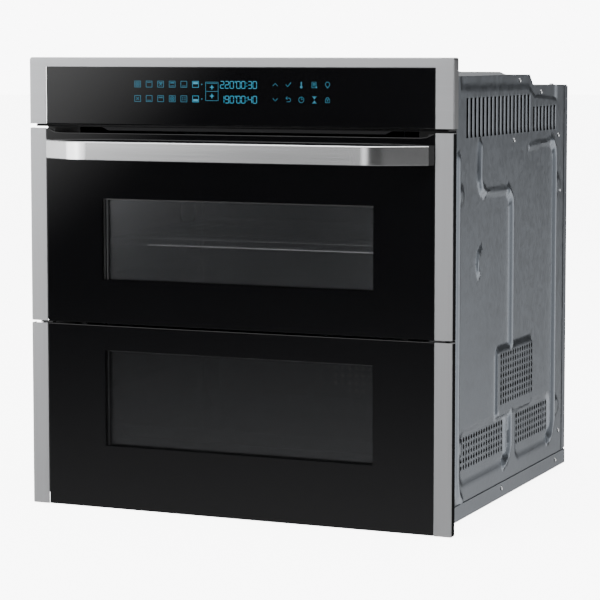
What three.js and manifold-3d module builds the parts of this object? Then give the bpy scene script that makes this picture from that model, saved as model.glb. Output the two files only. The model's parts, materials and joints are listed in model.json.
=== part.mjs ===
// A built-in electric wall oven, 60 cm class, with a door in two halves: the upper half opens alone on a hinge at
// the split, and both open together on the hinges at the foot. Units are millimetres, +Z is up, and the door faces -Y.
// Lengths inside the oven group run from the door's front plane (y = 0) to the rear, and heights from the feet.
import * as THREE from "three";
import { mergeVertices } from "three/addons/utils/BufferGeometryUtils.js";
import Module from "manifold-3d";

const wasm = await Module();
wasm.setup();

// ---- Driving dimensions ----
const fit = 0.3; // gap left between touching pieces
const front = { half: 297.5, bottom: 1, top: 597 }; // outline of the whole front
const trim = { wide: 24.5, topHigh: 12.6, thick: 1.2, doorReturn: 6, sideReturn: 12, topReturn: 18 };
const controlBottom = 509.3; // lower edge of the control panel
const split = { top: 247.4, bottom: 244.5 }; // the gap between the two door halves
const upperDoorTop = 504;
const doorGlassTop = 498; // the door's glass dips between its two shoulders
const door = { thick: 30, frameHalf: 289, frameBottom: 15.5, frameTop: 502.5 };
const pane = { front: 0.5, thick: 4, innerThick: 3.5, innerHalf: 275 };
const windowHalf = 194;
const upperWindow = { bottom: 300, top: 418 };
const lowerWindow = { bottom: 78, top: 217 };
const handle = { reach: 44, flatHalf: 200, footHalf: 264, thick: 10, bottom: 463.7, top: 488.5, bend: 30 };
const body = { half: 280, bottom: 6.7, top: 573, rearTop: 557, front: 34.5, rear: 545 };
const topStep = { front: 371, rear: 389 }; // where the roof drops to its rear height
const rearBulge = 25; // how far the motor cover stands behind the rear panel
const sheet = 1; // thickness of the galvanised sheet
const frontPlate = { front: 33, thick: 1.2 };
const cavity = { half: 232, bottom: 62, top: 442, rear: 446, wall: 1.2 };
const dividerLevel = 248; // rail that carries the cavity divider
const shelfLevel = 352;
const trayLevel = 100;
const railLevels = [trayLevel, 150, 198, dividerLevel, 300, shelfLevel, 400];
const rail = { radius: 3, x: 223.5, postX: 228.5, front: 75, rear: 395 };
const fanHeights = { upper: 348.5, lower: 155.5 };
const lamp = { y: 340, z: 376 };
const doorPivot = { y: 16, z: 10 };
const splitPivot = { y: 1, z: 246 };
const leverPivot = { y: -30.5, z: 484 };
const overallDepth = handle.reach + body.rear + rearBulge;
const frontPlaneY = handle.reach - overallDepth / 2; // puts the origin under the middle of the outline box

// ---- Materials ----
const finish = (color, roughness, metalness) => new THREE.MeshStandardMaterial({ color, roughness, metalness });
const brushedSteel = finish(0xc4c5c7, 0.35, 1);
const galvanised = finish(0x7d8388, 0.45, 0.9);
const blackGlass = finish(0x0b0b0c, 0.08, 0);
const clearGlass = finish(0x3a3d40, 0.1, 0);
const blackPlastic = finish(0x111214, 0.6, 0);
const blackPaint = finish(0x17181a, 0.5, 0.4);
const enamel = finish(0x3c4046, 0.35, 0.2);
const chrome = finish(0xd2d4d6, 0.15, 1);
const hotSteel = finish(0x59595c, 0.4, 0.9);
const mineralWool = finish(0xb9ad8c, 0.95, 0);
const sealBraid = finish(0x2a2a2b, 0.9, 0);
const boardGreen = finish(0x1f4a33, 0.6, 0);
const lampGlass = finish(0xe8e2cf, 0.15, 0);
const motorMetal = finish(0x9a9c9f, 0.5, 0.8);

// ---- Solids ----
const toSolid = (geometry) => {
  const bare = geometry.clone();
  bare.deleteAttribute("normal");
  bare.deleteAttribute("uv");
  const merged = mergeVertices(bare, 1e-4);
  return new wasm.Manifold(
    new wasm.Mesh({
      numProp: 3,
      vertProperties: new Float32Array(merged.attributes.position.array),
      triVerts: new Uint32Array(merged.index.array),
    }),
  );
};

const toGeometry = (solid) => {
  const mesh = solid.getMesh();
  const geometry = new THREE.BufferGeometry();
  geometry.setAttribute("position", new THREE.BufferAttribute(new Float32Array(mesh.vertProperties), 3));
  geometry.setIndex(new THREE.BufferAttribute(new Uint32Array(mesh.triVerts), 1));
  geometry.computeVertexNormals();
  return geometry;
};

// A block between x0..x1, y0..y1 and z0..z1.
const block = ([x0, x1], [y0, y1], [z0, z1]) => {
  const geometry = new THREE.BoxGeometry(x1 - x0, y1 - y0, z1 - z0);
  geometry.translate((x0 + x1) / 2, (y0 + y1) / 2, (z0 + z1) / 2);
  return toSolid(geometry);
};

// A round bar of the given radius from one point to another.
const bar = (from, to, radius, sides = 8) => {
  const a = new THREE.Vector3(...from);
  const b = new THREE.Vector3(...to);
  const geometry = new THREE.CylinderGeometry(radius, radius, a.distanceTo(b), sides);
  const along = b.clone().sub(a).normalize();
  geometry.applyQuaternion(new THREE.Quaternion().setFromUnitVectors(new THREE.Vector3(0, 1, 0), along));
  geometry.translate(...a.add(b).multiplyScalar(0.5).toArray());
  return toSolid(geometry);
};

// An outline of [y, z] points carried along X from x0 to x1.
const prismX = (outline, [x0, x1]) => {
  const shape = new THREE.Shape(outline.map(([y, z]) => new THREE.Vector2(y, z)));
  const geometry = new THREE.ExtrudeGeometry(shape, { depth: x1 - x0, bevelEnabled: false });
  geometry.applyMatrix4(new THREE.Matrix4().set(0, 0, 1, x0, 1, 0, 0, 0, 0, 1, 0, 0, 0, 0, 0, 1));
  return toSolid(geometry);
};

// A round tube bent along a curve.
const bentTube = (curve, radius, steps, sides = 6) => {
  const section = new THREE.Shape();
  for (let i = 0; i < sides; i += 1) {
    const angle = (i / sides) * 2 * Math.PI;
    const point = [radius * Math.cos(angle), radius * Math.sin(angle)];
    if (i === 0) section.moveTo(...point);
    else section.lineTo(...point);
  }
  return toSolid(new THREE.ExtrudeGeometry(section, { steps, extrudePath: curve, bevelEnabled: false }));
};

const join = (...solids) => solids.reduce((sum, solid) => sum.add(solid));
const cut = (solid, ...tools) => tools.reduce((rest, tool) => rest.subtract(tool), solid);
const mirrored = ([a, b], side) => (side > 0 ? [a, b] : [-b, -a]);
const sides = [
  ["left", -1],
  ["right", 1],
];

// Adds a named mesh whose position is the middle of its piece.
const add = (group, name, material, solid) => {
  const mesh = new THREE.Mesh(toGeometry(solid), material);
  mesh.name = name;
  mesh.geometry.computeBoundingBox();
  const middle = mesh.geometry.boundingBox.getCenter(new THREE.Vector3());
  mesh.geometry.translate(-middle.x, -middle.y, -middle.z);
  mesh.position.copy(middle);
  group.add(mesh);
};

const oven = new THREE.Group();
const chassis = new THREE.Group();
const lowerDoor = new THREE.Group();
const upperDoor = new THREE.Group();
oven.add(chassis, lowerDoor, upperDoor);
oven.position.y = frontPlaneY;

// ---- Outer casing ----
const louvre = { wide: 6.5, pitch: 16, bottom: 494.5 };
const louvreRows = [
  { first: 101.6, count: 17, high: 51 },
  { first: 382, count: 7, high: 34 },
];

const buildSidePanel = (name, side) => {
  const inset = 1.5; // the side stands inside the flanges of the base and rear panels
  const outline = [
    [body.front, 9],
    [body.rear - 2.5, 9],
    [body.rear - 2.5, body.rearTop],
    [topStep.rear, body.rearTop],
    [topStep.front, body.top],
    [body.front, body.top],
  ];
  const x = mirrored([body.half - inset - sheet, body.half - inset], side);
  const slots = louvreRows.flatMap((row) =>
    Array.from({ length: row.count }, (_, i) => {
      const y = row.first + i * louvre.pitch;
      return block([x[0] - 1, x[1] + 1], [y, y + louvre.wide], [louvre.bottom, louvre.bottom + row.high]);
    }),
  );
  add(chassis, name, galvanised, cut(prismX(outline, x), ...slots));
};

const buildBasePanel = () => {
  const floorSheet = block([-body.half, body.half], [body.front, body.rear - 1.5], [body.bottom, body.bottom + sheet]);
  const flanges = sides.map(([, side]) => {
    const x = mirrored([body.half - sheet, body.half], side);
    return block(x, [body.front, body.rear - 1.5], [body.bottom, body.bottom + 20]);
  });
  const feet = [-1, 1].flatMap((side) =>
    [90, 480].map((y) => block(mirrored([170, 250], side), [y - 15, y + 15], [0, body.bottom + 0.5])),
  );
  add(chassis, "base_panel", galvanised, join(floorSheet, ...flanges, ...feet));
};

const buildRearPanel = () => {
  const back = [body.rear - sheet, body.rear];
  const plate = block([-body.half, body.half], back, [body.bottom + 21, body.rearTop - 1.5]);
  const flanges = sides.map(([, side]) => {
    const x = mirrored([body.half - sheet, body.half], side);
    return block(x, [body.rear - 21, body.rear], [body.bottom + 21, body.rearTop - 1.5]);
  });
  const bulge = block([-190, 190], [body.rear - sheet, body.rear + rearBulge], [90, 500]);
  const hollow = block([-189, 189], [body.rear - 2 * sheet, body.rear + rearBulge - sheet], [91, 499]);
  const vents = Array.from({ length: 9 }, (_, i) => {
    const x = -152 + i * 36;
    return block([x, x + 16], [body.rear, body.rear + rearBulge + 1], [440, 446]);
  });
  add(chassis, "rear_panel", galvanised, cut(join(plate, ...flanges, bulge), hollow, ...vents));
};

const buildTopPanel = () => {
  const rear = body.rear - 2.5;
  const roofLine = (drop) => [
    [body.front, body.top - drop],
    [topStep.front, body.top - drop],
    [topStep.rear, body.rearTop - drop],
    [rear, body.rearTop - drop],
  ];
  const half = body.half - 2.8;
  const roofBlock = prismX([...roofLine(0), ...roofLine(18).reverse()], [-half, half]);
  const inside = prismX([...roofLine(sheet), ...roofLine(40).reverse()], [-half + sheet, half - sheet]);
  const shell = cut(roofBlock, inside);
  const pad = block([-220, 220], [56, 248], [body.top - sheet, body.top + 6]);
  const padHollow = block([-219, 219], [57, 247], [body.top - 2 * sheet, body.top + 6 - sheet]);
  add(chassis, "top_panel", galvanised, cut(join(shell, pad), padHollow));
};

// ---- Oven front, cavity and what lines it ----
const buildFrontFrame = () => {
  const y = [frontPlate.front, frontPlate.front + frontPlate.thick];
  const through = [y[0] - 1, y[1] + 1];
  const plate = block([-door.frameHalf, door.frameHalf], y, [9, body.top]);
  const mouth = block([-236, 236], through, [58, 446]);
  const airSlot = block([-240, 240], through, [492, 505]);
  const hingeSlots = sides.map(([, side]) => block(mirrored([248, 260], side), through, [8, 34]));
  const screwHoles = sides.flatMap(([, side]) =>
    [99.4, 422].map((z) => bar([side * 284.5, through[0], z], [side * 284.5, through[1], z], 2.5, 12)),
  );
  add(chassis, "front_frame", blackPaint, cut(plate, mouth, airSlot, ...hingeSlots, ...screwHoles));
};

const buildCavityLiner = () => {
  const w = cavity.wall;
  const outer = block(
    [-cavity.half - w, cavity.half + w],
    [body.front, cavity.rear + w],
    [cavity.bottom - w, cavity.top + w],
  );
  const collar = block([-245, 245], [body.front, body.front + w], [50, 454]);
  const inside = block([-cavity.half, cavity.half], [body.front - 1, cavity.rear], [cavity.bottom, cavity.top]);
  const shaftHoles = Object.values(fanHeights).map((z) => bar([0, 440, z], [0, 450, z], 9, 12));
  const lampHole = bar([-240, lamp.y, lamp.z], [-226, lamp.y, lamp.z], 17, 12);
  add(chassis, "cavity_liner", enamel, cut(join(outer, collar), inside, ...shaftHoles, lampHole));
};

const buildGasket = () => {
  const y = [door.thick + 0.4, frontPlate.front - fit];
  const ring = cut(block([-250, 250], y, [44, 460]), block([-241, 241], [20, 40], [53, 451]));
  add(chassis, "cavity_gasket", sealBraid, ring);
};

const buildInsulation = () => {
  const outer = block([-258, 258], [37, 474], [38, 470]);
  const inner = block([-234.5, 234.5], [30, cavity.rear + cavity.wall + 0.8], [50, 444.5]);
  const shaftHoles = Object.values(fanHeights).map((z) => bar([0, 440, z], [0, 480, z], 15, 12));
  const lampPocket = block([-262, -230], [lamp.y - 25, lamp.y + 25], [lamp.z - 25, lamp.z + 25]);
  add(chassis, "insulation_wrap", mineralWool, cut(outer, inner, ...shaftHoles, lampPocket));
};

const buildSideRack = (name, side) => {
  const x = side * rail.x;
  const post = side * rail.postX;
  const posts = [rail.front + 10, rail.rear - 10].map((y) => bar([post, y, 80], [post, y, 425], rail.radius, 6));
  const rails = railLevels.map((z) => bar([x, rail.front, z], [x, rail.rear, z], rail.radius, 6));
  add(chassis, name, chrome, join(...posts, ...rails));
};

// A heater bent into straight runs joined by half circles, with both ends at the rear wall.
const serpentine = (runs, pitch, nearY, farY, endY, z) => {
  const path = new THREE.CurvePath();
  const firstX = (-(runs - 1) / 2) * pitch;
  const spot = (x, y) => new THREE.Vector3(x, y, z);
  path.add(new THREE.LineCurve3(spot(firstX, endY), spot(firstX, nearY + pitch / 2)));
  for (let i = 0; i < runs - 1; i += 1) {
    const x = firstX + i * pitch;
    const atFront = i % 2 === 0;
    const turnY = atFront ? nearY + pitch / 2 : farY - pitch / 2;
    const bulge = ((atFront ? -1 : 1) * pitch * 2) / 3;
    path.add(
      new THREE.CubicBezierCurve3(
        spot(x, turnY),
        spot(x, turnY + bulge),
        spot(x + pitch, turnY + bulge),
        spot(x + pitch, turnY),
      ),
    );
    const nextY = i === runs - 2 ? endY : atFront ? farY - pitch / 2 : nearY + pitch / 2;
    path.add(new THREE.LineCurve3(spot(x + pitch, turnY), spot(x + pitch, nextY)));
  }
  return path;
};

const buildHeaters = () => {
  add(chassis, "grill_element", hotSteel, bentTube(serpentine(6, 56, 80, 400, 420, 430), 3.3, 90));
  add(chassis, "base_element", hotSteel, bentTube(serpentine(6, 60, 90, 390, 440, 55.4), 3.3, 60));
  for (const [level, z] of Object.entries(fanHeights)) {
    const ring = new THREE.TorusGeometry(78, 3.3, 6, 28);
    ring.rotateX(Math.PI / 2);
    ring.translate(0, 438, z);
    add(chassis, `ring_element_${level}`, hotSteel, toSolid(ring));
  }
};

const buildFanCover = () => {
  const [halfWide, low, high] = [178, 68, 436];
  const shell = block([-halfWide, halfWide], [424, cavity.rear - fit], [low, high]);
  const hollow = block([-halfWide + 1, halfWide - 1], [425, 450], [low + 1, high - 1]);
  const intakes = Object.values(fanHeights).flatMap((z) =>
    [-2, -1, 0, 1, 2].map((i) => {
      const reach = Math.sqrt(52 ** 2 - (i * 18) ** 2);
      return block([-reach, reach], [420, 427], [z + i * 18 - 4, z + i * 18 + 4]);
    }),
  );
  const outlets = sides.flatMap(([, side]) =>
    Object.values(fanHeights).map((z) => block(mirrored([140, 152], side), [420, 427], [z - 45, z + 45])),
  );
  add(chassis, "fan_cover", enamel, cut(shell, hollow, ...intakes, ...outlets));
};

const buildFans = () => {
  for (const [level, z] of Object.entries(fanHeights)) {
    const blades = Array.from({ length: 8 }, (_, i) => {
      const angle = (i / 8) * 2 * Math.PI;
      const blade = block([20, 62], [429, 442], [-0.8, 0.8]);
      return blade.rotate([0, (angle * 180) / Math.PI, 0]).translate([0, 0, z]);
    });
    const plate = bar([0, 441, z], [0, 442.5, z], 62, 24);
    const shaft = bar([0, 430, z], [0, 475.5, z], 4, 12);
    add(chassis, `convection_fan_${level}`, motorMetal, join(plate, shaft, ...blades));
    const bracket = block([-200, 200], [476, 477.5], [z - 14, z + 14]);
    const tabs = sides.map(([, side]) => {
      const x = mirrored([198.5, 200], side);
      return block(x, [476, body.rear - sheet - fit], [z - 14, z + 14]);
    });
    const motor = join(bar([0, 476, z], [0, 522, z], 36, 16), bracket, ...tabs);
    add(chassis, `fan_motor_${level}`, motorMetal, motor);
  }
};

const buildLamp = () => {
  const { y, z } = lamp;
  const lens = join(bar([-231.7, y, z], [-229.5, y, z], 22, 16), bar([-230, y, z], [-224, y, z], 15, 16));
  add(chassis, "lamp_lens", lampGlass, lens);
  add(chassis, "lamp_holder", motorMetal, bar([-259, y, z], [-233.6, y, z], 16, 12));
};

// ---- What stands in the cavity ----
const buildWireShelf = () => {
  const z = shelfLevel + rail.radius + fit + 3;
  const [half, near, far] = [219.5, 62, 400];
  const corner = (x, y) => [x, y, z];
  const frame = [
    bar(corner(-half, near), corner(half, near), 3, 6),
    bar(corner(-half, far), corner(half, far), 3, 6),
    ...sides.map(([, side]) => bar(corner(side * half, near), corner(side * half, far), 3, 6)),
  ];
  const wires = Array.from({ length: 15 }, (_, i) => {
    const x = -196 + i * 28;
    return bar([x, near, z + 1.5], [x, far, z + 1.5], 1.6, 6);
  });
  const lip = bar([-196, near, z - 10.5], [196, near, z - 10.5], 1.8, 6);
  const drops = [-196, 0, 196].map((x) => bar([x, near, z - 10.5], [x, near, z], 1.8, 6));
  add(chassis, "wire_shelf", chrome, join(...frame, ...wires, lip, ...drops));
};

const buildDivider = () => {
  const z = dividerLevel + rail.radius + fit;
  const plate = block([-222, 222], [44, 420], [z, z + 6]);
  const dish = block([-212, 212], [54, 410], [z + 4, z + 8]);
  add(chassis, "divider_plate", enamel, cut(plate, dish));
};

const buildBakingTray = () => {
  const rim = trayLevel + rail.radius + fit;
  const flange = block([-223, 223], [60, 400], [rim, rim + 1.2]);
  const pan = block([-214, 214], [68, 392], [rim - 20, rim + 0.6]);
  const inside = block([-212.8, 212.8], [69.2, 390.8], [rim - 18.8, rim + 5]);
  add(chassis, "baking_tray", enamel, cut(join(flange, pan), inside));
};

// ---- Control panel and cooling air ----
const buildControlPanel = () => {
  const innerHalf = front.half - trim.wide;
  const glassTop = front.top - trim.topHigh;
  const across = [-front.half, front.half];
  const face = cut(
    block(across, [0, trim.thick], [controlBottom, front.top]),
    block([-innerHalf - fit, innerHalf + fit], [-1, 3], [0, glassTop + fit]),
  );
  const topReturn = block(across, [0, trim.topReturn], [front.top - trim.thick, front.top]);
  const sideReturns = sides.map(([, side]) =>
    block(
      mirrored([front.half - trim.thick, front.half], side),
      [0, trim.sideReturn],
      [controlBottom, front.top],
    ),
  );
  add(chassis, "control_trim", brushedSteel, join(face, topReturn, ...sideReturns));
  add(
    chassis,
    "control_glass",
    blackGlass,
    block([-innerHalf, innerHalf], [pane.front, pane.front + pane.thick], [controlBottom + fit, glassTop]),
  );
  const shell = block([-265, 265], [5, 32.6], [514, 580]);
  add(chassis, "control_housing", blackPlastic, cut(shell, block([-263, 263], [4, 30.6], [516, 578])));
  add(chassis, "display_module", blackPlastic, block([-66, 30], [5.2, 13], [532, 566]));
  add(chassis, "control_board", boardGreen, block([-200, 200], [18, 19.6], [520, 574]));
};

const buildAirPath = () => {
  const z = [505.8, 509];
  const bezel = block([-door.frameHalf, door.frameHalf], [3, 32.6], z);
  const slots = Array.from({ length: 12 }, (_, i) => {
    const x = -234 + i * 40;
    return block([x, x + 28], [12, 28], [z[0] - 1, z[1] + 1]);
  });
  add(chassis, "air_outlet_bezel", blackPlastic, cut(bezel, ...slots));
  const duct = block([-242, 242], [35, 328], [474, 510]);
  add(chassis, "air_duct", galvanised, cut(duct, block([-241, 241], [30, 330], [470, 509])));
  const [y, height] = [368, 512]; // the blower's shaft
  const box = block([-110, 110], [329, 408], [474, 548]);
  const chamber = bar([-108, y, height], [108, y, height], 32, 20);
  const throat = block([-108, 108], [320, y], [476, 505]);
  const intake = block([-90, 90], [350, 386], [530, 560]);
  const bearings = sides.map(([, side]) => bar([side * 100, y, height], [side * 120, y, height], 5, 12));
  add(chassis, "cooling_fan_housing", galvanised, cut(box, chamber, throat, intake, ...bearings));
  const discs = [-100, 0, 100].map((x) => bar([x - 1, y, height], [x + 1, y, height], 27, 18));
  const blades = Array.from({ length: 12 }, (_, i) =>
    block([-100, 100], [19, 26], [-0.7, 0.7])
      .rotate([(i / 12) * 360, 0, 0])
      .translate([0, y, height]),
  );
  const axle = bar([-118, y, height], [118, y, height], 4, 12);
  add(chassis, "cooling_fan_rotor", blackPlastic, join(axle, ...discs, ...blades));
};

const buildMainsInlet = () => {
  const box = block([-256, -206], [body.rear + fit, body.rear + 17], [60, 104]);
  const clamp = bar([-231, body.rear + 9, 52], [-231, body.rear + 9, 61], 6, 12);
  add(chassis, "mains_terminal_box", blackPlastic, join(box, clamp));
};

// ---- Hinges at the foot of the door ----
const buildFootHinge = (name, side) => {
  const { y, z } = doorPivot;
  const outline = [
    [y, z - 3.5],
    [y + 22, z - 1],
    [118, 9],
    [118, 20],
    [60, 30],
    [36, 30],
    [36, 13],
    [y, z + 3.5],
    [y - 3.5, z],
  ];
  const arm = prismX(outline, mirrored([251, 257], side));
  const pin = bar([side * 245.2, y, z], [side * 262.8, y, z], 2.4, 16);
  add(chassis, `hinge_arm_${name}`, brushedSteel, join(arm, pin));
  const cheeks = [
    [246, 247.5],
    [260.5, 262],
  ].map((x) => block(mirrored(x, side), [y - 6, y + 8], [z - 4.5, 130]));
  const web = block(mirrored([246, 262], side), [y - 6, y - 4.5], [z + 6, 130]);
  const bore = bar([side * 240, y, z], [side * 270, y, z], 2.9, 16);
  add(lowerDoor, `hinge_case_${name}`, brushedSteel, cut(join(...cheeks, web), bore));
};

// ---- Door halves ----
// A door half's outer pane, inner pane, side trims, stiles and rails.
const buildDoorHalf = (group, label, edges) => {
  const { bottom, top, glassTop, frameBottom, frameTop, frameMiddleTop, opening, innerPane } = edges;
  const innerHalf = front.half - trim.wide;
  const web = [pane.front + pane.thick + 0.5, pane.front + pane.thick + 2];
  const deep = [web[0], door.thick - pane.innerThick - 0.5];
  const paneY = [pane.front, pane.front + pane.thick];
  const shoulder = 262;
  const glass = join(
    block([-innerHalf, innerHalf], paneY, [bottom, glassTop]),
    ...sides.map(([, side]) => block(mirrored([shoulder, innerHalf], side), paneY, [glassTop - 1, top])),
  );
  add(group, `${label}_outer_glass`, blackGlass, glass);
  add(
    group,
    `${label}_inner_glass`,
    clearGlass,
    block([-pane.innerHalf, pane.innerHalf], [door.thick - pane.innerThick, door.thick], innerPane),
  );
  for (const [name, side] of sides) {
    const face = block(mirrored([innerHalf + fit, front.half], side), [0, trim.thick], [bottom, top]);
    const outerEdge = mirrored([front.half - trim.thick, front.half], side);
    const sideReturn = block(outerEdge, [0, trim.doorReturn], [bottom, top]);
    add(group, `${label}_trim_${name}`, brushedSteel, join(face, sideReturn));
    const stileWeb = block(mirrored([windowHalf, door.frameHalf], side), web, [frameBottom, frameTop]);
    const outerWall = block(mirrored([door.frameHalf - 1.5, door.frameHalf], side), deep, [frameBottom, frameTop]);
    const innerWall = block(mirrored([windowHalf, windowHalf + 1.5], side), deep, [opening.bottom, opening.top]);
    const shoulderCut = block(mirrored([100, shoulder], side), [0, 40], [frameMiddleTop, frameTop + 1]);
    add(group, `${label}_stile_${name}`, blackPaint, cut(join(stileWeb, outerWall, innerWall), shoulderCut));
  }
  const railAcross = [-windowHalf + fit, windowHalf - fit];
  const railBetween = (low, high) => {
    const plate = block(railAcross, web, [low, high]);
    return join(plate, block(railAcross, deep, [low, low + 1.5]), block(railAcross, deep, [high - 1.5, high]));
  };
  add(group, `${label}_top_rail`, blackPaint, railBetween(opening.top, frameMiddleTop));
  add(group, `${label}_bottom_rail`, blackPaint, railBetween(frameBottom, opening.bottom));
};

const buildLowerDoor = () => {
  buildDoorHalf(lowerDoor, "lower", {
    bottom: front.bottom,
    top: split.bottom,
    glassTop: split.bottom,
    frameBottom: door.frameBottom,
    frameTop: 243.2,
    frameMiddleTop: 243.2,
    opening: lowerWindow,
    innerPane: [20, 240],
  });
  for (const [name, side] of sides) {
    buildFootHinge(name, side);
    const x = mirrored([266, 284], side);
    const tongue = block(x, [0.4, 9], [245.2, 246.8]);
    const leaf = block(x, [7.5, 9], [215, 246]);
    add(lowerDoor, `split_hinge_${name}`, blackPaint, join(tongue, leaf));
  }
};

// The bow handle: a flat bar whose ends sweep back to the door.
const buildHandle = () => {
  const { reach, flatHalf, footHalf, thick, bend, bottom, top } = handle;
  const foot = pane.front - fit;
  const shape = new THREE.Shape();
  shape.moveTo(-footHalf, foot);
  shape.quadraticCurveTo(-flatHalf - bend, -reach, -flatHalf + bend, -reach);
  shape.lineTo(flatHalf - bend, -reach);
  shape.quadraticCurveTo(flatHalf + bend, -reach, footHalf, foot);
  shape.lineTo(footHalf - 20, foot);
  shape.quadraticCurveTo(flatHalf + bend - 14, -reach + thick, flatHalf - bend, -reach + thick);
  shape.lineTo(-flatHalf + bend, -reach + thick);
  shape.quadraticCurveTo(-flatHalf - bend + 14, -reach + thick, -footHalf + 20, foot);
  shape.closePath();
  const geometry = new THREE.ExtrudeGeometry(shape, { depth: top - bottom, bevelEnabled: false, curveSegments: 8 });
  geometry.translate(0, 0, bottom);
  const ears = sides.map(([, side]) =>
    block(mirrored([48.5, 52], side), [thick - reach - 0.5, leverPivot.y + 3], [480, 488]),
  );
  const bore = bar([-60, leverPivot.y, leverPivot.z], [60, leverPivot.y, leverPivot.z], 1.8, 12);
  const barSolid = toSolid(geometry);
  add(upperDoor, "handle_bar", brushedSteel, join(barSolid, ...ears.map((ear) => cut(ear, bore))));
};

const buildRelease = () => {
  const { y, z } = leverPivot;
  const knuckle = bar([-48, y, z], [48, y, z], 2.2, 10);
  const blade = block([-48, 48], [y + 0.6, y + 3], [z - 18, z]);
  const pins = bar([-51.5, y, z], [51.5, y, z], 1.5, 10);
  add(upperDoor, "release_lever", blackPlastic, join(knuckle, pins, blade));
  const cross = block([-231, 231], [17, 20], [474, 480]);
  const legs = sides.map(([, side]) => block(mirrored([225, 231], side), [17, 20], [238, 480]));
  const noses = sides.map(([, side]) => block(mirrored([225, 231], side), [17, 24], [238, 241]));
  add(upperDoor, "latch_yoke", brushedSteel, join(cross, ...legs, ...noses));
};

const buildUpperDoor = () => {
  buildDoorHalf(upperDoor, "upper", {
    bottom: split.top,
    top: upperDoorTop,
    glassTop: doorGlassTop,
    frameBottom: 248.8,
    frameTop: door.frameTop,
    frameMiddleTop: doorGlassTop - 1,
    opening: upperWindow,
    innerPane: [251, 492],
  });
  buildHandle();
  buildRelease();
};

for (const [name, side] of sides) {
  buildSidePanel(`side_panel_${name}`, side);
  buildSideRack(`side_rack_${name}`, side);
}
buildBasePanel();
buildRearPanel();
buildTopPanel();
buildFrontFrame();
buildCavityLiner();
buildGasket();
buildInsulation();
buildHeaters();
buildFanCover();
buildFans();
buildLamp();
buildWireShelf();
buildDivider();
buildBakingTray();
buildControlPanel();
buildAirPath();
buildMainsInlet();
buildLowerDoor();
buildUpperDoor();

export default oven;
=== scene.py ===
import json
import math

import bpy
import numpy as np
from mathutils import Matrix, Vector


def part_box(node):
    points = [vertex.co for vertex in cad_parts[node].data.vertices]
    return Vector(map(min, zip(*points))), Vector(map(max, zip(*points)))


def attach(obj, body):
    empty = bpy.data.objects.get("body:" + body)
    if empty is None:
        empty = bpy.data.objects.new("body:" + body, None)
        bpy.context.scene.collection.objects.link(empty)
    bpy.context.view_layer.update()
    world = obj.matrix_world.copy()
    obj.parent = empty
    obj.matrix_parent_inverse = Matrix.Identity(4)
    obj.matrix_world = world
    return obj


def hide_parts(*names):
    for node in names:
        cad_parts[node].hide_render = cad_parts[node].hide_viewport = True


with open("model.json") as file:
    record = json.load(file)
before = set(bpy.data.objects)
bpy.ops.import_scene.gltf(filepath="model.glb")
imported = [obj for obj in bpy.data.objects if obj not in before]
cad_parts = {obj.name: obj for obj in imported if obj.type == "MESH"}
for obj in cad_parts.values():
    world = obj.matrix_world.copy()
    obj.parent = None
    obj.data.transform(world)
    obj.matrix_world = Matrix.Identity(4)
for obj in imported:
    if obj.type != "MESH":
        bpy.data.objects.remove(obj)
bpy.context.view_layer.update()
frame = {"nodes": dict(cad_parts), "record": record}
mm = 0.001
scene = bpy.context.scene
print("frame loaded")


# ---- numpy surfaces ----
def fillMesh(mesh, verts, faceSets):
    # writes points and sets of equal-sided faces into a mesh as whole arrays
    verts = np.asarray(verts, np.float32).reshape(-1, 3)
    faceSets = [np.asarray(f, np.int32) for f in faceSets if len(f)]
    loops = np.concatenate([f.ravel() for f in faceSets])
    sizes = np.concatenate([np.full(len(f), f.shape[1], np.int32) for f in faceSets])
    starts = np.concatenate([[0], np.cumsum(sizes)[:-1]]).astype(np.int32)
    mesh.vertices.add(len(verts))
    mesh.vertices.foreach_set("co", verts.ravel())
    mesh.loops.add(len(loops))
    mesh.loops.foreach_set("vertex_index", loops)
    mesh.polygons.add(len(sizes))
    mesh.polygons.foreach_set("loop_start", starts)
    mesh.polygons.foreach_set("use_smooth", np.ones(len(sizes), bool))
    mesh.update(calc_edges=True)
    mesh.validate()


def makePiece(name, parts, material, body, replaced, creaseAngle=32):
    # parts is a list of (points, face sets); they become one mesh that rides on a body
    starts = np.cumsum([0] + [len(points) for points, _ in parts])
    faces = [f + start for (_, sets), start in zip(parts, starts) for f in sets if len(f)]
    mesh = bpy.data.meshes.new(name)
    fillMesh(mesh, np.concatenate([points for points, _ in parts]), faces)
    mesh.set_sharp_from_angle(angle=math.radians(creaseAngle))
    mesh.materials.append(material)
    piece = bpy.data.objects.new(name, mesh)
    scene.collection.objects.link(piece)
    flats = piece.modifiers.new("flats", "WEIGHTED_NORMAL")  # large faces keep a flat look beside rounded rims
    flats.keep_sharp = True
    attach(piece, body)
    if replaced:
        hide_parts(*replaced)


def gridFaces(rows, columns, wrapRows=False, wrapColumns=False):
    # quads of a rows x columns lattice, counter-clockwise when column runs right and row runs up
    r = np.arange(rows if wrapRows else rows - 1)
    c = np.arange(columns if wrapColumns else columns - 1)
    r, c = np.meshgrid(r, c, indexing="ij")
    r1, c1 = (r + 1) % rows, (c + 1) % columns
    return np.stack([r * columns + c, r * columns + c1, r1 * columns + c1, r1 * columns + c], -1).reshape(-1, 4)


def outward(points, sets):
    # turns the faces of a closed shape round if its signed volume comes out negative
    volume = 0.0
    for f in sets:
        corners = points[f]
        for k in range(1, f.shape[1] - 1):
            volume += np.einsum("ij,ij->", corners[:, 0], np.cross(corners[:, k], corners[:, k + 1]))
    return points, sets if volume > 0 else [f[:, ::-1] for f in sets]


def lofted(rings, closed=False):
    # equal rings joined one to the next; a face closes each end unless the last ring joins the first
    rows, size = rings.shape[:2]
    caps = [] if closed else [np.arange(size)[None, ::-1], (np.arange(size) + (rows - 1) * size)[None]]
    return outward(rings.reshape(-1, 3), [gridFaces(rows, size, closed, True), *caps])


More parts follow.
